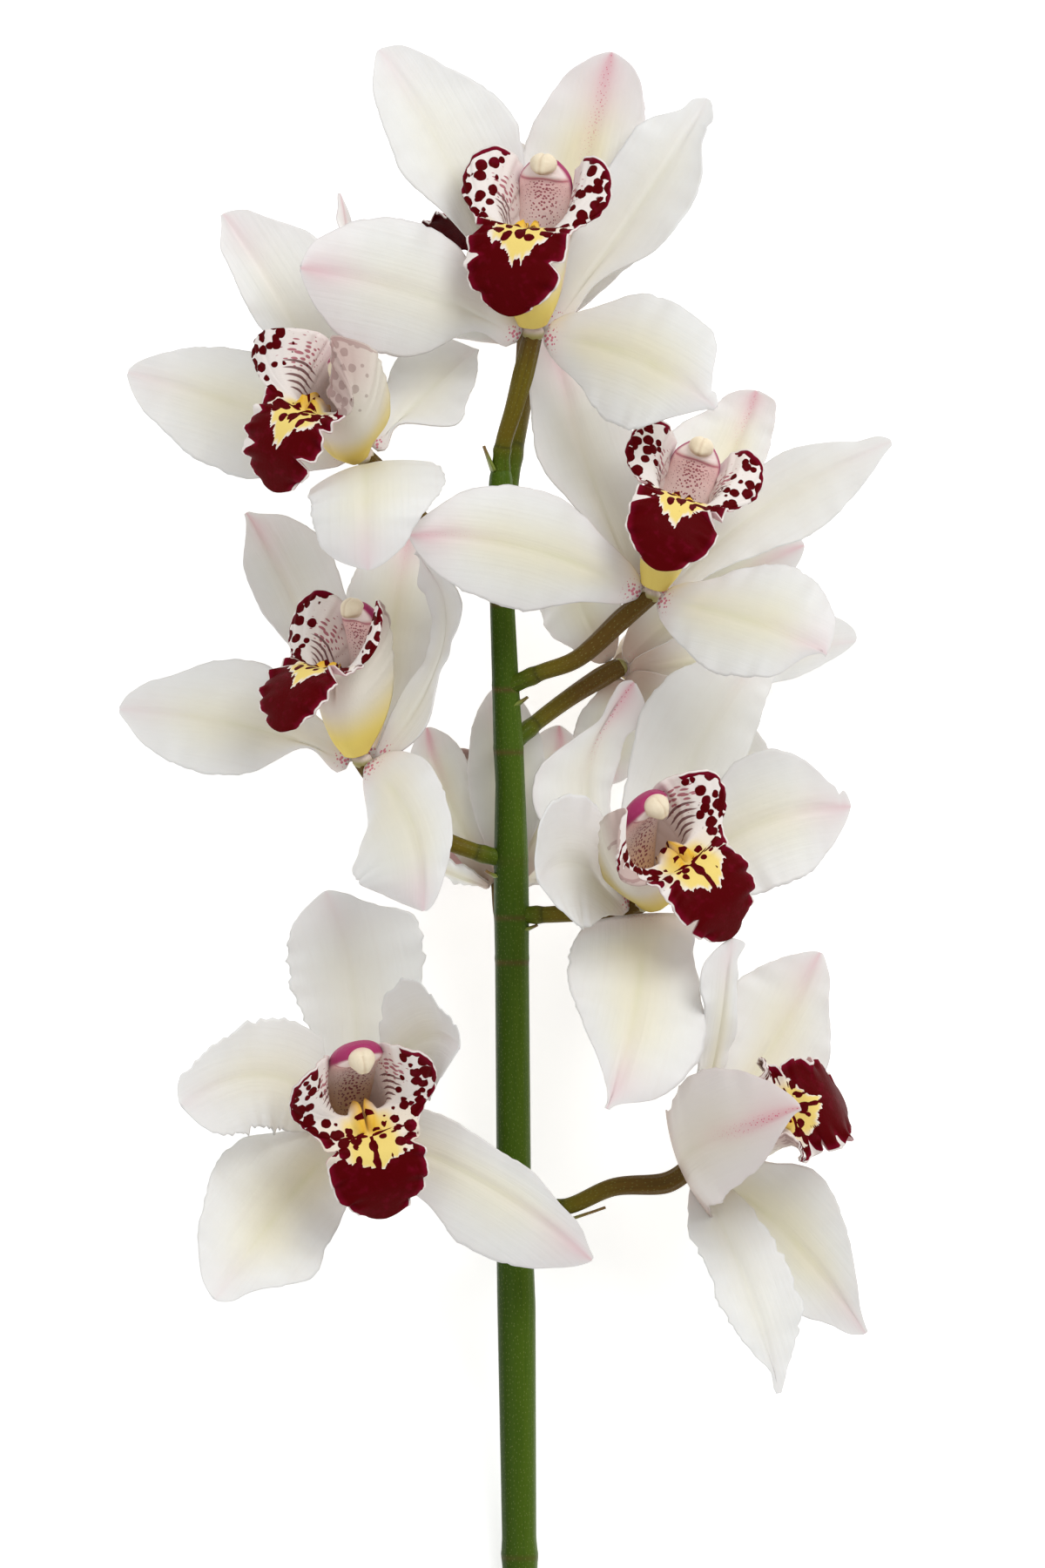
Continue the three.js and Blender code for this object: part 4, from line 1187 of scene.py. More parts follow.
@dataclass
class Bloom:
    """One bloom: where it stands, how it is turned, and its five tepals.

    base_at is the place that its organs grow from, axis the way along its column and lip_side the
    way to its lip. fold is how far the mid lobe folds back, and pedicel the stalk's middle up to
    base_at, which turns brown over the shares of its length in brown. Each notch of the lip has a
    place along, a side and a depth, and patch is the start, length and half breadth of its yellow.
    lobes gives, for the left and the right, the shares that shape the side lobes: pull, margin,
    back and length. banded, stripe and flushed are strengths of the lip's edge band, midline and
    crimson back, floor is the height of its throat, lean moves the column's tip right, lipwards
    and forward, and dotted is where the column's dots start.
    """

    name: str
    base_at: Triple
    axis: Triple
    lip_side: Triple
    fold: float
    size: float
    pedicel: tuple[Triple, ...]
    tepals: tuple[Tepal, ...]
    brown: Pair = (0.3, 0.6)
    notches: tuple[Triple, ...] = ((0.80, -1, 0.2), (0.90, 1, 0.2))
    stripe: float = 0.0
    patch: Triple = (0.72, 0.175, 11.5)
    lobes: tuple[Shares, Shares] = ((1.0, 1.0, 1.0, 1.0), (1.0, 1.0, 1.0, 1.0))
    banded: float = 1.1
    flushed: float = 0.0
    lean: Triple = (0.0, 0.0, 0.0)
    floor: float = 1.0
    dotted: float = 0.45

    RECEPTACLE: ClassVar[Pair] = (2.5, 2.0)  # radii across and along
    RECEPTACLE_GRID: ClassVar[tuple[int, int, float]] = (15, 24, 0.05)
    PEDICEL_RADII: ClassVar[tuple[float, ...]] = (2.1, 1.9, 2.1, 2.3, 2.1)
    PEDICEL_STEPS: ClassVar[int] = 64
    PEDICEL_SIDES: ClassVar[int] = 28
    FLESH: ClassVar[Triple] = (0.76, 0.64, 0.56)
    MOSS: ClassVar[Triple] = (0.30, 0.26, 0.07)
    OLIVE: ClassVar[Triple] = (0.14, 0.105, 0.010)
    GREEN: ClassVar[Triple] = (0.065, 0.105, 0.006)
    BROWN: ClassVar[Triple] = (0.10, 0.05, 0.010)
    SCAR: ClassVar[Triple] = (0.03, 0.03, 0.008)

    def __post_init__(self) -> None:
        """Works out the three directions at right angles: along the column, lipwards and right."""
        self.base = np.array(self.base_at, float)
        self.n = unit(np.array(self.axis, float))
        lip = np.array(self.lip_side, float)
        self.d = unit(lip - self.n * (lip @ self.n))
        self.r = np.cross(self.n, self.d)

    def place(self, along: Any, lipwards: Any, right: Any) -> Array:
        """A place of the bloom's own directions in the growing frame."""
        a, b, c = (np.asarray(p, float)[..., None] for p in (along, lipwards, right))
        return self.base + self.size * (self.n * a + self.d * b + self.r * c)

    def receptacle(self, seed: int) -> Shell:
        """The oval knob on which the tepals stand."""
        across, along = self.RECEPTACLE
        x, z, y = ball(*self.RECEPTACLE_GRID)
        places = self.place(along * y, across * z, across * x)
        colours = painted(self.FLESH, x.shape, (self.MOSS, smooth(0.6, -0.2, y)))
        sheet = vectors(x * 4, y * 4, z * 4 + seed)
        return skin(places, {"tint": with_alpha(colours, 0.0), "sheet": sheet})

    def stalk(self, seed: int) -> Shell:
        """The pedicel and ovary: a tube with a collar at its foot and grooves towards the bloom."""
        k = np.linspace(0.0, 1.0, self.PEDICEL_STEPS)
        t, turn = k[:, None], turns(self.PEDICEL_SIDES)
        knots = np.array([*self.pedicel, self.base_at], float)
        places = np.linspace(0, 1, len(self.PEDICEL_RADII))
        radii = np.interp(k, places, self.PEDICEL_RADII)[:, None]
        groove = 0.07 * np.cos(turn * 6) * smooth(0.45, 0.75, t)
        collar = 0.12 * bump(0.2, 0.03, t) + 0.10 * smooth(0.16, 0.02, t)
        radii = radii * (1 + groove + collar)
        rings = round_rings(between(knots, k), radii, self.PEDICEL_SIDES)
        colours = painted(
            self.OLIVE, radii.shape,
            (self.GREEN, smooth(0.35, 0.1, t)),
            (self.BROWN, 0.85 * smooth(*self.brown, t)),
            (self.SCAR, 0.6 * bump(0.235, 0.012, t)),
        )
        sheet = vectors(turn * 2, t * travelled(knots)[-1], float(seed))
        return skin(rings, {"tint": with_alpha(colours), "sheet": sheet})


# --- the stem ---


@dataclass(frozen=True)
class MainStem:
    """The stalk as centre x, height and radius, its nodes, and the bracts left under pedicels.

    Each bract has the height of its foot, its side of the stem, and how far it stands out and up.
    """

    GREEN: ClassVar[Triple] = (0.042, 0.082, 0.004)
    # The next two greens are painted light and painted shade: the stem's lit right side and its
    # shaded left side.
    PAINTED_LIGHT_GREEN: ClassVar[Triple] = (0.085, 0.14, 0.012)
    PAINTED_SHADE_GREEN: ClassVar[Triple] = (0.016, 0.032, 0.003)
    YOUNG: ClassVar[Triple] = (0.075, 0.13, 0.01)
    BROWN: ClassVar[Triple] = (0.10, 0.055, 0.02)
    CUT: ClassVar[Triple] = (0.4, 0.45, 0.2)
    HUSK: ClassVar[Triple] = (0.20, 0.24, 0.05)
    DRY: ClassVar[Triple] = (0.22, 0.13, 0.05)

    rows: tuple[Triple, ...] = (
        (1.4, -12, 4.0), (1.4, -1, 3.95), (1.3, 3, 4.25), (1.2, 7, 3.95), (0.6, 60, 4.4),
        (0.1, 79, 4.15), (0.0, 83, 4.35), (0.0, 88, 3.95), (-0.4, 140, 3.9), (-0.5, 151, 4.05),
        (-0.6, 163, 3.95), (-0.8, 180, 3.4), (-1.2, 188, 3.45), (-1.9, 203, 3.1),
        (-2.6, 220, 2.85), (-3.0, 247, 2.7), (-3.0, 252, 3.0), (-3.0, 254, 2.6),
    )
    nodes: tuple[float, ...] = (3.0, 81.0, 140.0, 150.0, 163.0, 188.0, 202.5, 222.0, 247.0)
    bracts: tuple[tuple[float, Triple, Pair], ...] = (
        (76.5, (1, 0, 0.1), (18, 6.3)),
        (146.0, (1, 0, 0.2), (3.2, 1.6)),
        (158.0, (-1, 0, 0.2), (3.2, 2.0)),
        (197.5, (1, 0, 0.3), (3.0, 2.4)),
        (251.5, (-1, 0, 0.2), (2.2, 6.0)),
    )
    steps: int = 260
    sides: int = 44
    bract_half: float = 2.2
    bract_tip: float = 0.45
    bract_sunk: float = 1.2
    bract_thickness: float = 0.3

    def at(self, y: Array) -> tuple[Array, Array]:
        """The middle and radius of the stem at heights."""
        xs, ys, radii = np.array(self.rows).T
        return np.interp(y, ys, xs), np.interp(y, ys, radii)

    def stalk(self) -> Shell:
        """Makes the stalk: round, with faint ribs, a raised ring at each node, and painted light on
        its right side and painted shade on its left.
        """
        y = np.linspace(self.rows[0][1], self.rows[-1][1], self.steps)
        x, radius = (part[:, None] for part in self.at(y))
        y, turn = y[:, None], turns(self.sides)
        ring = sum(bump(node, 0.7, y) for node in self.nodes)
        dark = sum(bump(node - 0.9, 0.35, y) for node in self.nodes)
        ribs = 0.035 * np.cos(turn * 11 + 0.02 * y) + 0.03 * np.cos(turn * 5 + 1.3)
        out = radius + ribs + 0.10 * ring
        out[-6:] *= np.sqrt(1 - np.linspace(0.2, 0.97, 6) ** 2)[:, None]
        places = vectors(x + out * np.cos(turn), y, out * np.sin(turn))
        colours = painted(
            self.GREEN, out.shape,
            # Painted light and shade: the right side, turned a little up, is painted lighter and
            # the left side darker, as if lit from the right.
            (self.PAINTED_LIGHT_GREEN, 0.55 * smooth(-0.3, 1.0, np.cos(turn) + 0.2 * np.sin(turn))),
            (self.PAINTED_SHADE_GREEN, 0.6 * smooth(0.2, 1.0, -np.cos(turn))),
            (self.YOUNG, 0.5 * smooth(200, 250, y)),
            (self.BROWN, 0.75 * dark),
            (self.CUT, 1.0 * (y == y[0])),
        )
        sheet = vectors(turn * 4, y, 0.0)
        return skin(places, {"tint": with_alpha(colours), "sheet": sheet})

    def bract(self, y: float, side: Triple, reach: Pair) -> Shell:
        """A small pointed scale that leans away from the stem.

        Args:
            y: Height of its foot.
            side: Direction round the stem.
            reach: How far its tip stands out and up.

        Returns:
            The blade with its tint and sheet fields.
        """
        up, out = np.array([0.0, 1.0, 0.0]), unit(np.array(side, float))
        x, radius = self.at(np.array([y]))
        t = np.linspace(0, 1, 25)[:, None]
        s = np.linspace(-1, 1, 13)[None, :]
        half = np.maximum(self.bract_tip, self.bract_half * (1 - t) ** 0.8)
        foot = np.array([x[0], y, 0.0]) + out * (radius[0] - self.bract_sunk)
        line = foot + out * reach[0] * t + up * reach[1] * t
        cupped = 0.5 * s**2 * half / self.bract_half
        places = line[:, None] + np.cross(up, out) * (s * half)[..., None]
        places = places + up * cupped[..., None]
        colours = painted(self.HUSK, cupped.shape, (self.DRY, smooth(0.35, 0.9, t)))
        fields = {"tint": with_alpha(colours), "sheet": vectors(s * half, t * 20, y)}
        return blade(places, self.bract_thickness, fields, fields)

    def shell(self) -> Shell:
        """The stalk with its bracts."""
        return Shell.join([self.stalk()] + [self.bract(*row) for row in self.bracts])


# --- blooms ---

UP: Triple = (0.0, 0.0, 1.0)

BLOOMS = (
    Bloom(
        "top", (4.5, 283.4, 6), (0.05, 0.97, 0.23), (-0.29, -0.2, 0.94),
        fold=1.45, size=1.03, pedicel=((-3, 252, 0), (-2.4, 258, 1), (0, 266, 3.5), (2.2, 274, 5)),
        tepals=(
            Tepal((14.5, 314, -8), (22.6, 348.4, -9), UP, (0.3, 0.3),
                  (8.7, 12.6, 14.3, 14.7, 12.7, 9.9, 5.1),
                  (3.5, 5.5, 6.9, 9, 11, 9.2, 6), cream=2.0, blush=1.15),
            Tepal((-14.5, 321.5, 3), (-31, 348.6, -2), (0.3, 0.1, 1), (0.2, 0.3),
                  (2.4, 6.1, 11.4, 10.5, 9.1, 6.3, 2.7),
                  (9.3, 14.6, 18.2, 16.6, 11.2, 7.8, 4.8), cream=0.5, blush=0.3),
            Tepal((30, 314, 0), (44.6, 337.5, -6), (-0.3, 0.1, 1), (0.2, 0.6),
                  (7.7, 10.6, 11.5, 11.4, 9.5, 4.5, 3.2),
                  (2.5, 10.5, 11.9, 9.8, 5, 4.5, 2.4),
                  cream=0.5, blush=0.1, nicks=((0.72, 1, 0.2),)),
            Tepal((-22, 292, 20), (-48.6, 297.6, 30), UP, (-0.3, -0.3),
                  (3.5, 12.7, 15.5, 15.5, 13.4, 9.5, 4.6),
                  (3.4, 12.9, 15.8, 15.3, 13.4, 9.6, 6), cream=0.6, blush=0.9),
            Tepal((28, 277.5, 25), (46, 265.6, 32), UP, (-0.3, -0.3),
                  (7.8, 13.8, 14.9, 14.4, 12.2, 4.5, 2.3),
                  (9.7, 15.3, 16.4, 15.3, 10.6, 5.9, 1.9),
                  cream=1.2, blush=0.3, nicks=((0.8, -1, 0.25),)),
        ),
        notches=((0.775, -1, 0.22), (0.865, 1, 0.3)), brown=(0.7, 1.0),
    ),
    Bloom(
        "top_back", (3, 284, -30), (0.05, 0.93, -0.33), (-0.91, 0, -0.41),
        fold=0.35, size=0.96,
        pedicel=((-1.5, 246, -1), (0.5, 258, -9), (2.2, 269, -19), (2.8, 277, -26)),
        tepals=(
            plain((24, 306, -38), (40, 326, -42), (-0.6, 0.3, 0.5), 0.2, 13),
            plain((8, 304, -56), (15, 318, -80), (-0.2, 0.6, 0.6), 0.2, 13),
            plain((1, 310, -24), (-7, 330, -21), (0.3, 0.2, -0.9), 0.2, 10.5),
            plain((-18, 292, -38), (-35, 299, -44), (0.2, 0.8, -0.3), 0.1, 10),
            plain((-18, 292.5, -58), (-38, 297, -80.68), (0, 0.24, 0.97), 0.2, 10.5),
        ),
        flushed=1.0,
    ),
    Bloom(
        "upper_left", (-34.4, 255.1, 12), (-0.28, 0.68, 0.68), (-0.62, -0.7, 0.44),
        fold=0.95, size=0.99,
        pedicel=((-2.6, 222, 0), (-10, 229, 3.5), (-20, 239, 6.5), (-29, 249.5, 10)),
        tepals=(
            Tepal((-50, 285, 7), (-66.8, 310.8, 1), (0, 0.2, 1), (0.2, 0.2),
                  (2.2, 4.5, 7, 7.4, 6.2, 5.1, 1.9),
                  (7.5, 12.5, 15.4, 16, 12.7, 8.1, 4.9), cream=0.5, blush=0.5),
            plain((-36, 288, -3), (-40.2, 316, -12), (1, 0.1, 0.25), 0.1, 10),
            Tepal((-19, 270.5, 3), (-8.6, 280, -13), (-0.2, 0.2, 1), (0.1, 0.4),
                  (4.6, 8.8, 11, 10.4, 9.3, 7.9, 6.7),
                  (0.6, 11.3, 9.1, 7.3, 4.9, 2.6, 1.1), cream=0.6, blush=0.2),
            Tepal((-61, 266.5, -1), (-88.8, 274.6, -8), (0, 0.1, 1), (0.2, 0.2),
                  (10.1, 15.7, 16.1, 14.7, 11.4, 8.4, 4.2),
                  (7.9, 11, 12.2, 11.4, 9.2, 6.1, 3.4), cream=0.9, blush=0.3),
            Tepal((-33.5, 248, 44), (-33, 228.6, 49), (-0.1, 0.5, 1), (-0.3, -0.5),
                  (15.5, 18, 17, 14.5, 11, 8.5, 4.5),
                  (14, 14.4, 13.6, 13.4, 12.6, 11.6, 7.6), cream=1.0, blush=0.5, claw=0.8),
        ),
        lobes=((1.0, 1.15, 1.0, 0.62), (1.7, 0.3, 1.9, 0.85)), banded=0.6,
        lean=(3.2, 0.0, -9.0), floor=0.85,
        notches=((0.90, 1, 0.4), (0.80, 1, 0.2)),
    ),
    Bloom(
        "upper_right", (31.4, 223.4, 8), (0.32, 0.94, 0.13), (-0.07, -0.11, 0.99),
        fold=1.34, size=0.94,
        pedicel=((-2.2, 202, 0), (6, 205.5, 3.5), (15, 209, 6), (25, 218, 7.5)),
        tepals=(
            Tepal((48, 251, -15), (56, 270.8, -22), (0, 0.2, 1), (0.2, 0.2),
                  (8.5, 13.3, 15.7, 12.9, 8.6, 6.9, 4.1),
                  (4.2, 6.4, 7.5, 7.6, 6.7, 5.8, 4.8), cream=1.2, blush=1.1),
            Tepal((17, 253, -1), (8.6, 283, -12), (0.2, 0.1, 1), (0.3, 0.1),
                  (2.7, 6.6, 10.7, 10.4, 8.6, 7.5, 6.1),
                  (7.1, 10.4, 12.2, 12.5, 10.4, 7.2, 3.3), cream=0.6, blush=0.9),
            Tepal((57, 243, -3), (86.8, 258.6, -3), (-0.1, 0.3, 1), (0.2, 0.2),
                  (3.8, 6, 8.4, 8.8, 6.5, 3.6, 2.5),
                  (4.6, 8.2, 11.4, 11.4, 9.1, 5.8, 2.2), cream=0.5, blush=0.2),
            Tepal((3, 234, 30), (-23.8, 236.6, 40), UP, (-0.3, -0.3),
                  (7.8, 13.7, 14.5, 13.5, 11.3, 8.1, 4.1),
                  (7.6, 12.4, 13.6, 12.3, 9.9, 6, 2.8), cream=1.1, blush=1.0),
            Tepal((53, 217.5, 30), (71.2, 209.4, 36), (0, 0.2, 1), (-0.3, -0.3),
                  (7.1, 12.9, 15.4, 15.4, 13.8, 10.6, 7.2),
                  (9.5, 13.5, 13.3, 11.9, 9.5, 3.1, 0.5), cream=1.1, blush=0.6),
        ),
        notches=((0.82, 1, 0.4), (0.745, -1, 0.2)),
    ),
    Bloom(
        "right_back", (24.4, 207, -17), (0.45, 0.3, -0.84), (0.65, -0.75, 0.08),
        fold=1, size=0.82,
        pedicel=((-1.6, 188, -1), (5, 194, -6), (13, 200, -11), (20, 204.5, -15)),
        tepals=(
            plain((52, 210, -29), (79.6, 213.4, -59.55), (-0.3, 0.5, -0.8), 0.1, 11, blush=0.2),
            plain((45, 224, -27), (67.2, 235.4, -38), (0.3, 0.4, -0.8), 0.2, 11.5, blush=0.6),
            plain((15, 225, -30), (12, 241, -46), (0.4, 0, -0.9), 0.2, 12),
            plain((43, 192, -20), (57, 178, -31), (0.4, 0.3, -0.9), 0.1, 11),
            plain((23, 192, -27), (22, 180, -40), (0, 0.4, -0.8), 0.1, 9),
        ),
    ),
    Bloom(
        "middle_left", (-34.7, 185.4, 10), (-0.08, 0.96, 0.25), (-0.7, -0.24, 0.67),
        fold=1, size=0.94,
        pedicel=((-0.6, 162.5, 0), (-9, 164.5, 1.5), (-19, 169, 3), (-30, 179.5, 7.5)),
        tepals=(
            Tepal((-49, 219, -3), (-61.6, 242.4, -12), (0.1, 0.2, 1), (0.2, 0.2),
                  (1.3, 4.5, 8, 8.1, 6.7, 3.3, 1.2),
                  (7, 10.1, 11.6, 12.2, 10.9, 7.1, 2.3), cream=0.4, blush=0.9),
            plain((-28, 215, -8), (-24, 240, -18), UP, 0.2, 12),
            Tepal((-16, 212, 20), (-22.4, 233, 15), (-0.9, 0, 0.7), (0.3, 0.3),
                  (5.7, 4.9, 4.1, 4.4, 5, 4.8, 0.5),
                  (6.5, 1.6, 4.5, 7.9, 4.4, 0.8, 1.5), cream=0.4, blush=0.3),
            Tepal((-63, 193.5, 5), (-90.6, 197, -3), (0, 0.1, 1), (0.2, 0.2),
                  (0.5, 9.4, 12.4, 12.5, 10.5, 7.4, 3.1),
                  (7, 13.5, 15.1, 12.8, 9, 7, 3.9), cream=0.9, blush=0.3),
            Tepal((-23, 171, 36), (-20.4, 151.2, 42), (-0.3, 0.3, 1), (-0.2, -0.7),
                  (9.8, 9.7, 8.9, 7.6, 5.3, 3.7, 2.2),
                  (9.8, 19, 19.4, 18.5, 17.4, 13.8, 7.9), cream=0.9, blush=0.6),
        ),
        lobes=((1.0, 1.0, 1.0, 1.0), (1.2, 0.75, 1.2, 1.0)), banded=0.7,
        notches=((0.80, 1, 0.4), (0.74, -1, 0.2)),
    ),
    Bloom(
        "middle_right", (29.7, 153, 5), (0.1, 0.6, 0.78), (0.7, -0.62, 0.37),
        fold=1, size=1, pedicel=((-0.5, 150, 0), (7, 150, 1.5), (16, 150.5, 2), (24, 150.5, 3)),
        tepals=(
            Tepal((17, 179.4, -2), (27.6, 203.4, -7), (0.2, 0, 1), (0.2, 0.2),
                  (3.2, 12.2, 12.7, 6.2, 1.6, 1.9, 2.3),
                  (3.4, 4.5, 5.8, 6.6, 6, 7.4, 5.2), cream=0.6, blush=1.2),
            plain((14.5, 162, 24), (5.5, 158, 42), (0.75, 0.1, 0.45), 0.2, 15.5,
                  cream=0.3, blush=0.1),
            Tepal((43, 189, -5), (58, 210, -10), UP, (0.2, 0.2),
                  (11.2, 13.7, 15.9, 14, 9.4, 5.7, 1.6),
                  (7.6, 10.3, 10.6, 9.6, 7.9, 6.3, 4.7), cream=0.4, blush=0.3),
            Tepal((54, 170, 3), (77.4, 174.8, -6), UP, (0.2, 0.2),
                  (3.3, 7.7, 14.5, 15.7, 12, 6.1, 3.9),
                  (11.2, 14.3, 15.4, 15, 13.1, 9.2, 4.6),
                  cream=0.9, blush=0.7, nicks=((0.84, -1, 0.4),)),
            Tepal((28, 130, 27), (21.2, 106.2, 38), UP, (-0.2, -0.2),
                  (11.6, 14.1, 16.6, 16.9, 14.2, 9.7, 2.5),
                  (16.5, 16.8, 14.4, 10.4, 5.9, 2.5, 0.5), cream=1.1, blush=0.8, claw=0.8),
        ),
        lobes=((1.7, 0.9, 2.1, 1.0), (1.0, 1.05, 1.0, 0.75)), banded=0.4, dotted=0.1,
        lean=(0.0, 0.0, -3.0), floor=0.6,
        patch=(0.76, 0.12, 11.0),
        notches=((0.90, -1, 0.35), (0.78, 1, 0.2)), stripe=1.0,
    ),
    Bloom(
        "stem_back", (-3, 157, -18), (-0.1, 0.9, -0.42), (-0.66, -0.3, -0.68),
        fold=1, size=0.78,
        pedicel=((-0.4, 139, -1), (-0.8, 142, -6.5), (-1.6, 146, -11), (-2.4, 151, -15)),
        tepals=(
            plain((-1.5, 180, -14), (-3.6, 202.5, -19), (0, 0.2, -0.9), 0.1, 9),
            plain((-15, 177, -20), (-20, 193, -23), (0.2, 0.2, -0.9), 0.1, 7.5),
            plain((8, 177, -20), (10.4, 193.4, -26), (-0.3, 0.3, -0.9), 0.2, 9),
            plain((-15, 160, -19), (-26, 164, -22), (0.2, 0.9, -0.3), 0.1, 8),
            plain((1.5, 158, -31), (5, 161, -42), (-0.1, 0.9, 0.3), 0.1, 8.5),
        ),
    ),
    Bloom(
        "lower_left", (-37.5, 101.2, 8), (0.07, 0.35, 0.93), (0.26, -0.91, 0.32),
        fold=0.92, size=1.01,
        pedicel=((0, 81, 0), (-10, 83.5, -0.5), (-22, 89.5, -1), (-33, 97.5, 1.5)),
        tepals=(
            Tepal((-36.5, 131, 8), (-43, 155.5, 13), UP, (0.2, 0.2),
                  (6.9, 11.2, 13.3, 14.3, 13.2, 10.7, 6.3),
                  (8.1, 12.4, 16.2, 17.7, 16.5, 8.4, 3.6), cream=0.5, blush=0.3, ragged=0.7),
            Tepal((-56, 113.5, 20), (-75.8, 107, 36), (0.4, 0.1, 1), (0.2, 0.2),
                  (10.1, 12, 12.3, 12.4, 12.2, 11.4, 8.2),
                  (8.5, 12.8, 13.3, 10.2, 8.6, 6.5, 4.5), cream=0.7, blush=0.2, ragged=1.0),
            Tepal((-23, 121, 22), (-12.4, 120, 40), (-0.7, 0, 0.8), (0.5, 0.2),
                  (2.1, 7.2, 13.8, 13.5, 7.6, 5.8, 4),
                  (9.4, 13.3, 13.8, 14, 13.9, 13.2, 7.6),
                  cream=0.7, blush=0.2, ragged=1.0, nicks=((0.8, -1, 0.2), (0.62, 1, 0.2))),
            Tepal((-53.5, 82.5, 20), (-68, 62.6, 32), (0.1, 0.2, 1), (0.2, 0.2),
                  (9.9, 12.5, 14, 15.4, 10.9, 5.9, 3.6),
                  (11.2, 17.6, 18, 15.5, 12.7, 8.6, 4.8), cream=1.1, blush=0.2),
            Tepal((-8, 90, 22), (17.8, 71.2, 15), (0.1, 0.1, 1), (0.3, -0.4),
                  (9.4, 9.1, 7.8, 7.5, 5.4, 4.3, 1.8),
                  (8.3, 11, 14.8, 15, 12.8, 9, 4.5), cream=0.9, blush=0.8),
        ),
        lean=(1.0, -1.6, 0.0), dotted=0.1, floor=0.5, banded=0.15,
        patch=(0.80, 0.07, 13.0),
        notches=((0.78, -1, 0.25), (0.80, 1, 0.25), (0.93, -1, 0.2)), stripe=1.0,
    ),
    Bloom(
        "lower_right", (41.6, 93.1, 4), (0.48, 0.35, 0.81), (0.79, 0.23, -0.57),
        fold=0.62, size=1.02, pedicel=((0.2, 82.5, 0), (12, 83, 1), (23, 87.5, 2), (35, 88.5, 2)),
        tepals=(
            # The back of this tepal is seen in shade, which shade=0.35 paints in rose-grey.
            Tepal((43.5, 98, 33), (65, 106.6, 52), (0.6, 0.1, -0.8), (0.3, 0.3),
                  (12.3, 13.4, 12.3, 11, 8.5, 4.6, 1.3),
                  (12.3, 15.1, 16.3, 15.3, 12.8, 8.9, 4.4),
                  cream=0.8, blush=1.3, shade=0.35, claw=0.85),
            Tepal((46.5, 120, 15), (49.5, 144.6, 24), (0.75, -0.1, 0.6), (0.1, 0.1),
                  (3.3, 6.1, 6.6, 7.1, 10.3, 10.9, 6.6),
                  (4.2, 4.2, 5.5, 4.8, 3.9, 3.1, 5), cream=0.9, blush=0.4),
            Tepal((59, 119, -7), (70.6, 141.2, -12), UP, (0.2, 0.2),
                  (4.6, 7.9, 11, 14.3, 11.9, 7.9, 3.8),
                  (8.4, 11.7, 13.5, 10.9, 6.9, 4.8, 2.3), cream=1.0, blush=0.7),
            Tepal((53, 66, 15), (60.6, 40.8, 20), (0.2, 0.2, 1), (0.2, 0.2),
                  (8, 9.5, 11, 10.3, 7.2, 4, 1.6),
                  (7.6, 7.5, 7.7, 6.6, 4.2, 0.9, 0.9), cream=0.4, blush=0.1, ragged=1.0),
            Tepal((63.5, 76, -4), (81, 53.6, -10), UP, (0.2, 0.2),
                  (9.1, 15, 13.2, 9.8, 5.9, 2.7, 1.1),
                  (6, 10, 12, 12, 10, 6, 3.5), cream=1.1, blush=0.5),
        ),
        lobes=((1.0, 0.7, 1.0, 1.0), (1.0, 0.7, 1.0, 1.0)), patch=(0.74, 0.13, 10.0),
        notches=((0.76, 1, 0.3), (0.80, -1, 0.3), (0.87, 1, 0.3), (0.90, -1, 0.2)), stripe=0.6,
    ),
)


# --- assembly ---


@dataclass
class OrchidStem:
    """The whole stem: one stalk and its blooms, each piece dressed in its finish."""

    stem: MainStem = field(default_factory=MainStem)
    lip: LipShape = field(default_factory=LipShape)
    column: ColumnShape = field(default_factory=ColumnShape)
    cap: CapShape = field(default_factory=CapShape)

    def __post_init__(self) -> None:
        """Makes one material for each tissue."""
        self.finishes = {
            Tissue.STEM: StalkFinish("green_stalk").material(),
            Tissue.PEDICEL: StalkFinish("olive_pedicel", 0.36, (0.05, 0.03, 0.01)).material(),
            Tissue.TEPAL: PetalFinish().material(),
            Tissue.LIP: LipFinish().material(),
            Tissue.COLUMN: ColumnFinish().material(),
            Tissue.CAP: CapFinish().material(),
        }

    def dress(self, shell: Shell, name: str, tissue: Tissue, node: str) -> None:
        """Builds a piece, gives it its finish and lets it stand for its node.

        Args:
            shell: The piece's shape.
            name: The piece's name.
            tissue: What it is made of.
            node: The solid that it stands for.
        """
        piece = shell.build(name)
        piece.data.materials.append(self.finishes[tissue])
        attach(piece, BODY)
        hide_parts(node)
        log.info("%s: %d places", name, len(shell.points))

    def build_bloom(self, bloom: Bloom, seed: int) -> None:
        """Builds the five pieces of a bloom."""
        petals = [tepal.shell(bloom, seed * 11 + k) for k, tepal in enumerate(bloom.tepals)]
        petals.append(bloom.receptacle(seed))
        name = bloom.name
        self.dress(Shell.join(petals), f"{name}_petals", Tissue.TEPAL, f"{name}_tepals")
        self.dress(self.lip.shell(bloom, seed), f"{name}_lip_sheet", Tissue.LIP, f"{name}_lip")
        column = self.column.shell(bloom, seed)
        self.dress(column, f"{name}_column_arch", Tissue.COLUMN, f"{name}_column")
        self.dress(self.cap.shell(bloom, seed), f"{name}_cap", Tissue.CAP, f"{name}_anther_cap")
        self.dress(bloom.stalk(seed), f"{name}_flower_stalk", Tissue.PEDICEL, f"{name}_pedicel")

    def build(self) -> None:
        """Builds every piece."""
        self.dress(self.stem.shell(), "stalk_with_bracts", Tissue.STEM, "main_stem")
        for seed, bloom in enumerate(BLOOMS, start=1):
            self.build_bloom(bloom, seed)


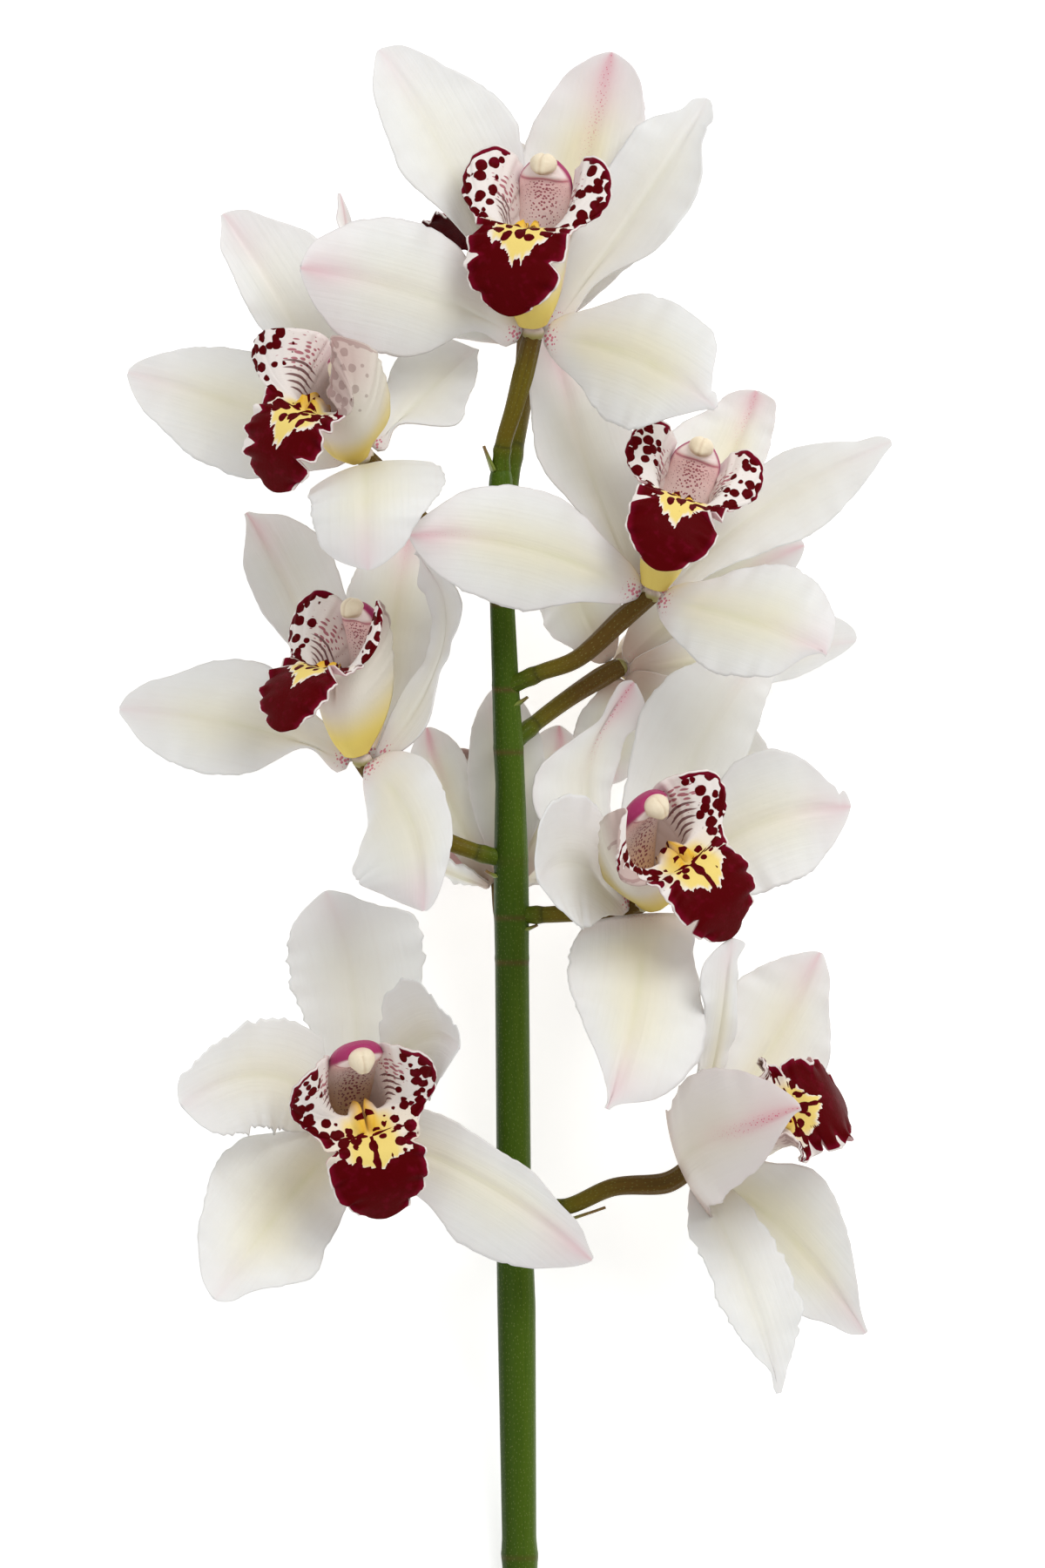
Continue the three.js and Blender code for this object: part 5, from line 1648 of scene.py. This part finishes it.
@dataclass
class Studio:
    """A plain pale floor, soft lights and the camera that looks down on the lying stem."""

    frame_height: float = 0.360
    look_at: Triple = (2.0, 180.0, 0.0)
    distance: float = 4.0
    sensor: float = 36.0
    reach: float = 3.0
    lit: Triple = (0.0, 0.0, 0.05)

    def floor(self) -> None:
        """A wide pale floor."""
        mesh = bpy.data.meshes.new("floor")
        reach = self.reach
        corners = [(-reach, -reach, 0), (reach, -reach, 0), (reach, reach, 0), (-reach, reach, 0)]
        mesh.from_pydata(corners, [], [(0, 1, 2, 3)])
        graph = Graph("pale_floor")
        paper = {"Base Color": (0.94, 0.94, 0.94, 1), "Roughness": 0.9}
        glow = {"Emission Color": (1, 1, 1, 1), "Emission Strength": 0.46}
        mesh.materials.append(graph.finish(paper | glow))
        floor = put("floor", mesh)

    def lamp(self, name: str, at: Triple, size: float, power: float) -> None:
        """A square soft light that points at the middle of the stem.

        Args:
            name: The lamp's name.
            at: Its place in metres.
            size: Its side in metres.
            power: Its power in watts.
        """
        data = bpy.data.lights.new(name, "AREA")
        data.size = size
        data.energy = power
        lamp = put(name, data)
        lamp.location = at
        lamp.rotation_mode = "QUATERNION"
        lamp.rotation_quaternion = (Vector(self.lit) - Vector(at)).to_track_quat("-Z", "Y")

    def sky(self, strength: float) -> None:
        """An even white surround."""
        world = bpy.data.worlds.new("surround")
        world.use_nodes = True
        ground = world.node_tree.nodes["Background"]
        ground.inputs["Color"].default_value = (1, 1, 1, 1)
        ground.inputs["Strength"].default_value = strength
        bpy.context.scene.world = world

    def camera(self) -> None:
        """The camera: straight against the growing frame's +Z, with a long lens."""
        data = bpy.data.cameras.new("camera")
        data.sensor_width = self.sensor
        data.lens = self.sensor * self.distance / self.frame_height
        data.clip_end = 20.0
        camera = put("camera", data)
        target = grown(np.array(self.look_at))
        back = np.array([0.0, -math.sin(LEAN), math.cos(LEAN)])
        camera.location = Vector(target + back * self.distance)
        camera.rotation_euler = (LEAN, 0.0, 0.0)
        bpy.context.scene.camera = camera

    def build(self) -> None:
        """Sets up the floor, lights, surround and camera."""
        self.floor()
        self.lamp("key", (1.0, 1.0, 2.1), 1.5, 33)
        self.lamp("fill", (-1.4, -0.6, 1.9), 1.8, 9)
        self.sky(0.52)
        self.camera()
        bpy.context.scene.view_settings.view_transform = "Standard"


def corners(box: tuple[Vector, Vector]) -> list[list[float]]:
    """The two corners of a box as plain lists."""
    return [list(box[0]), list(box[1])]


def main() -> None:
    """Builds the stem and its studio."""
    logging.basicConfig(level=logging.INFO, format="%(name)s: %(message)s")
    Studio().build()
    OrchidStem().build()


if __name__ == "__main__":
    main()
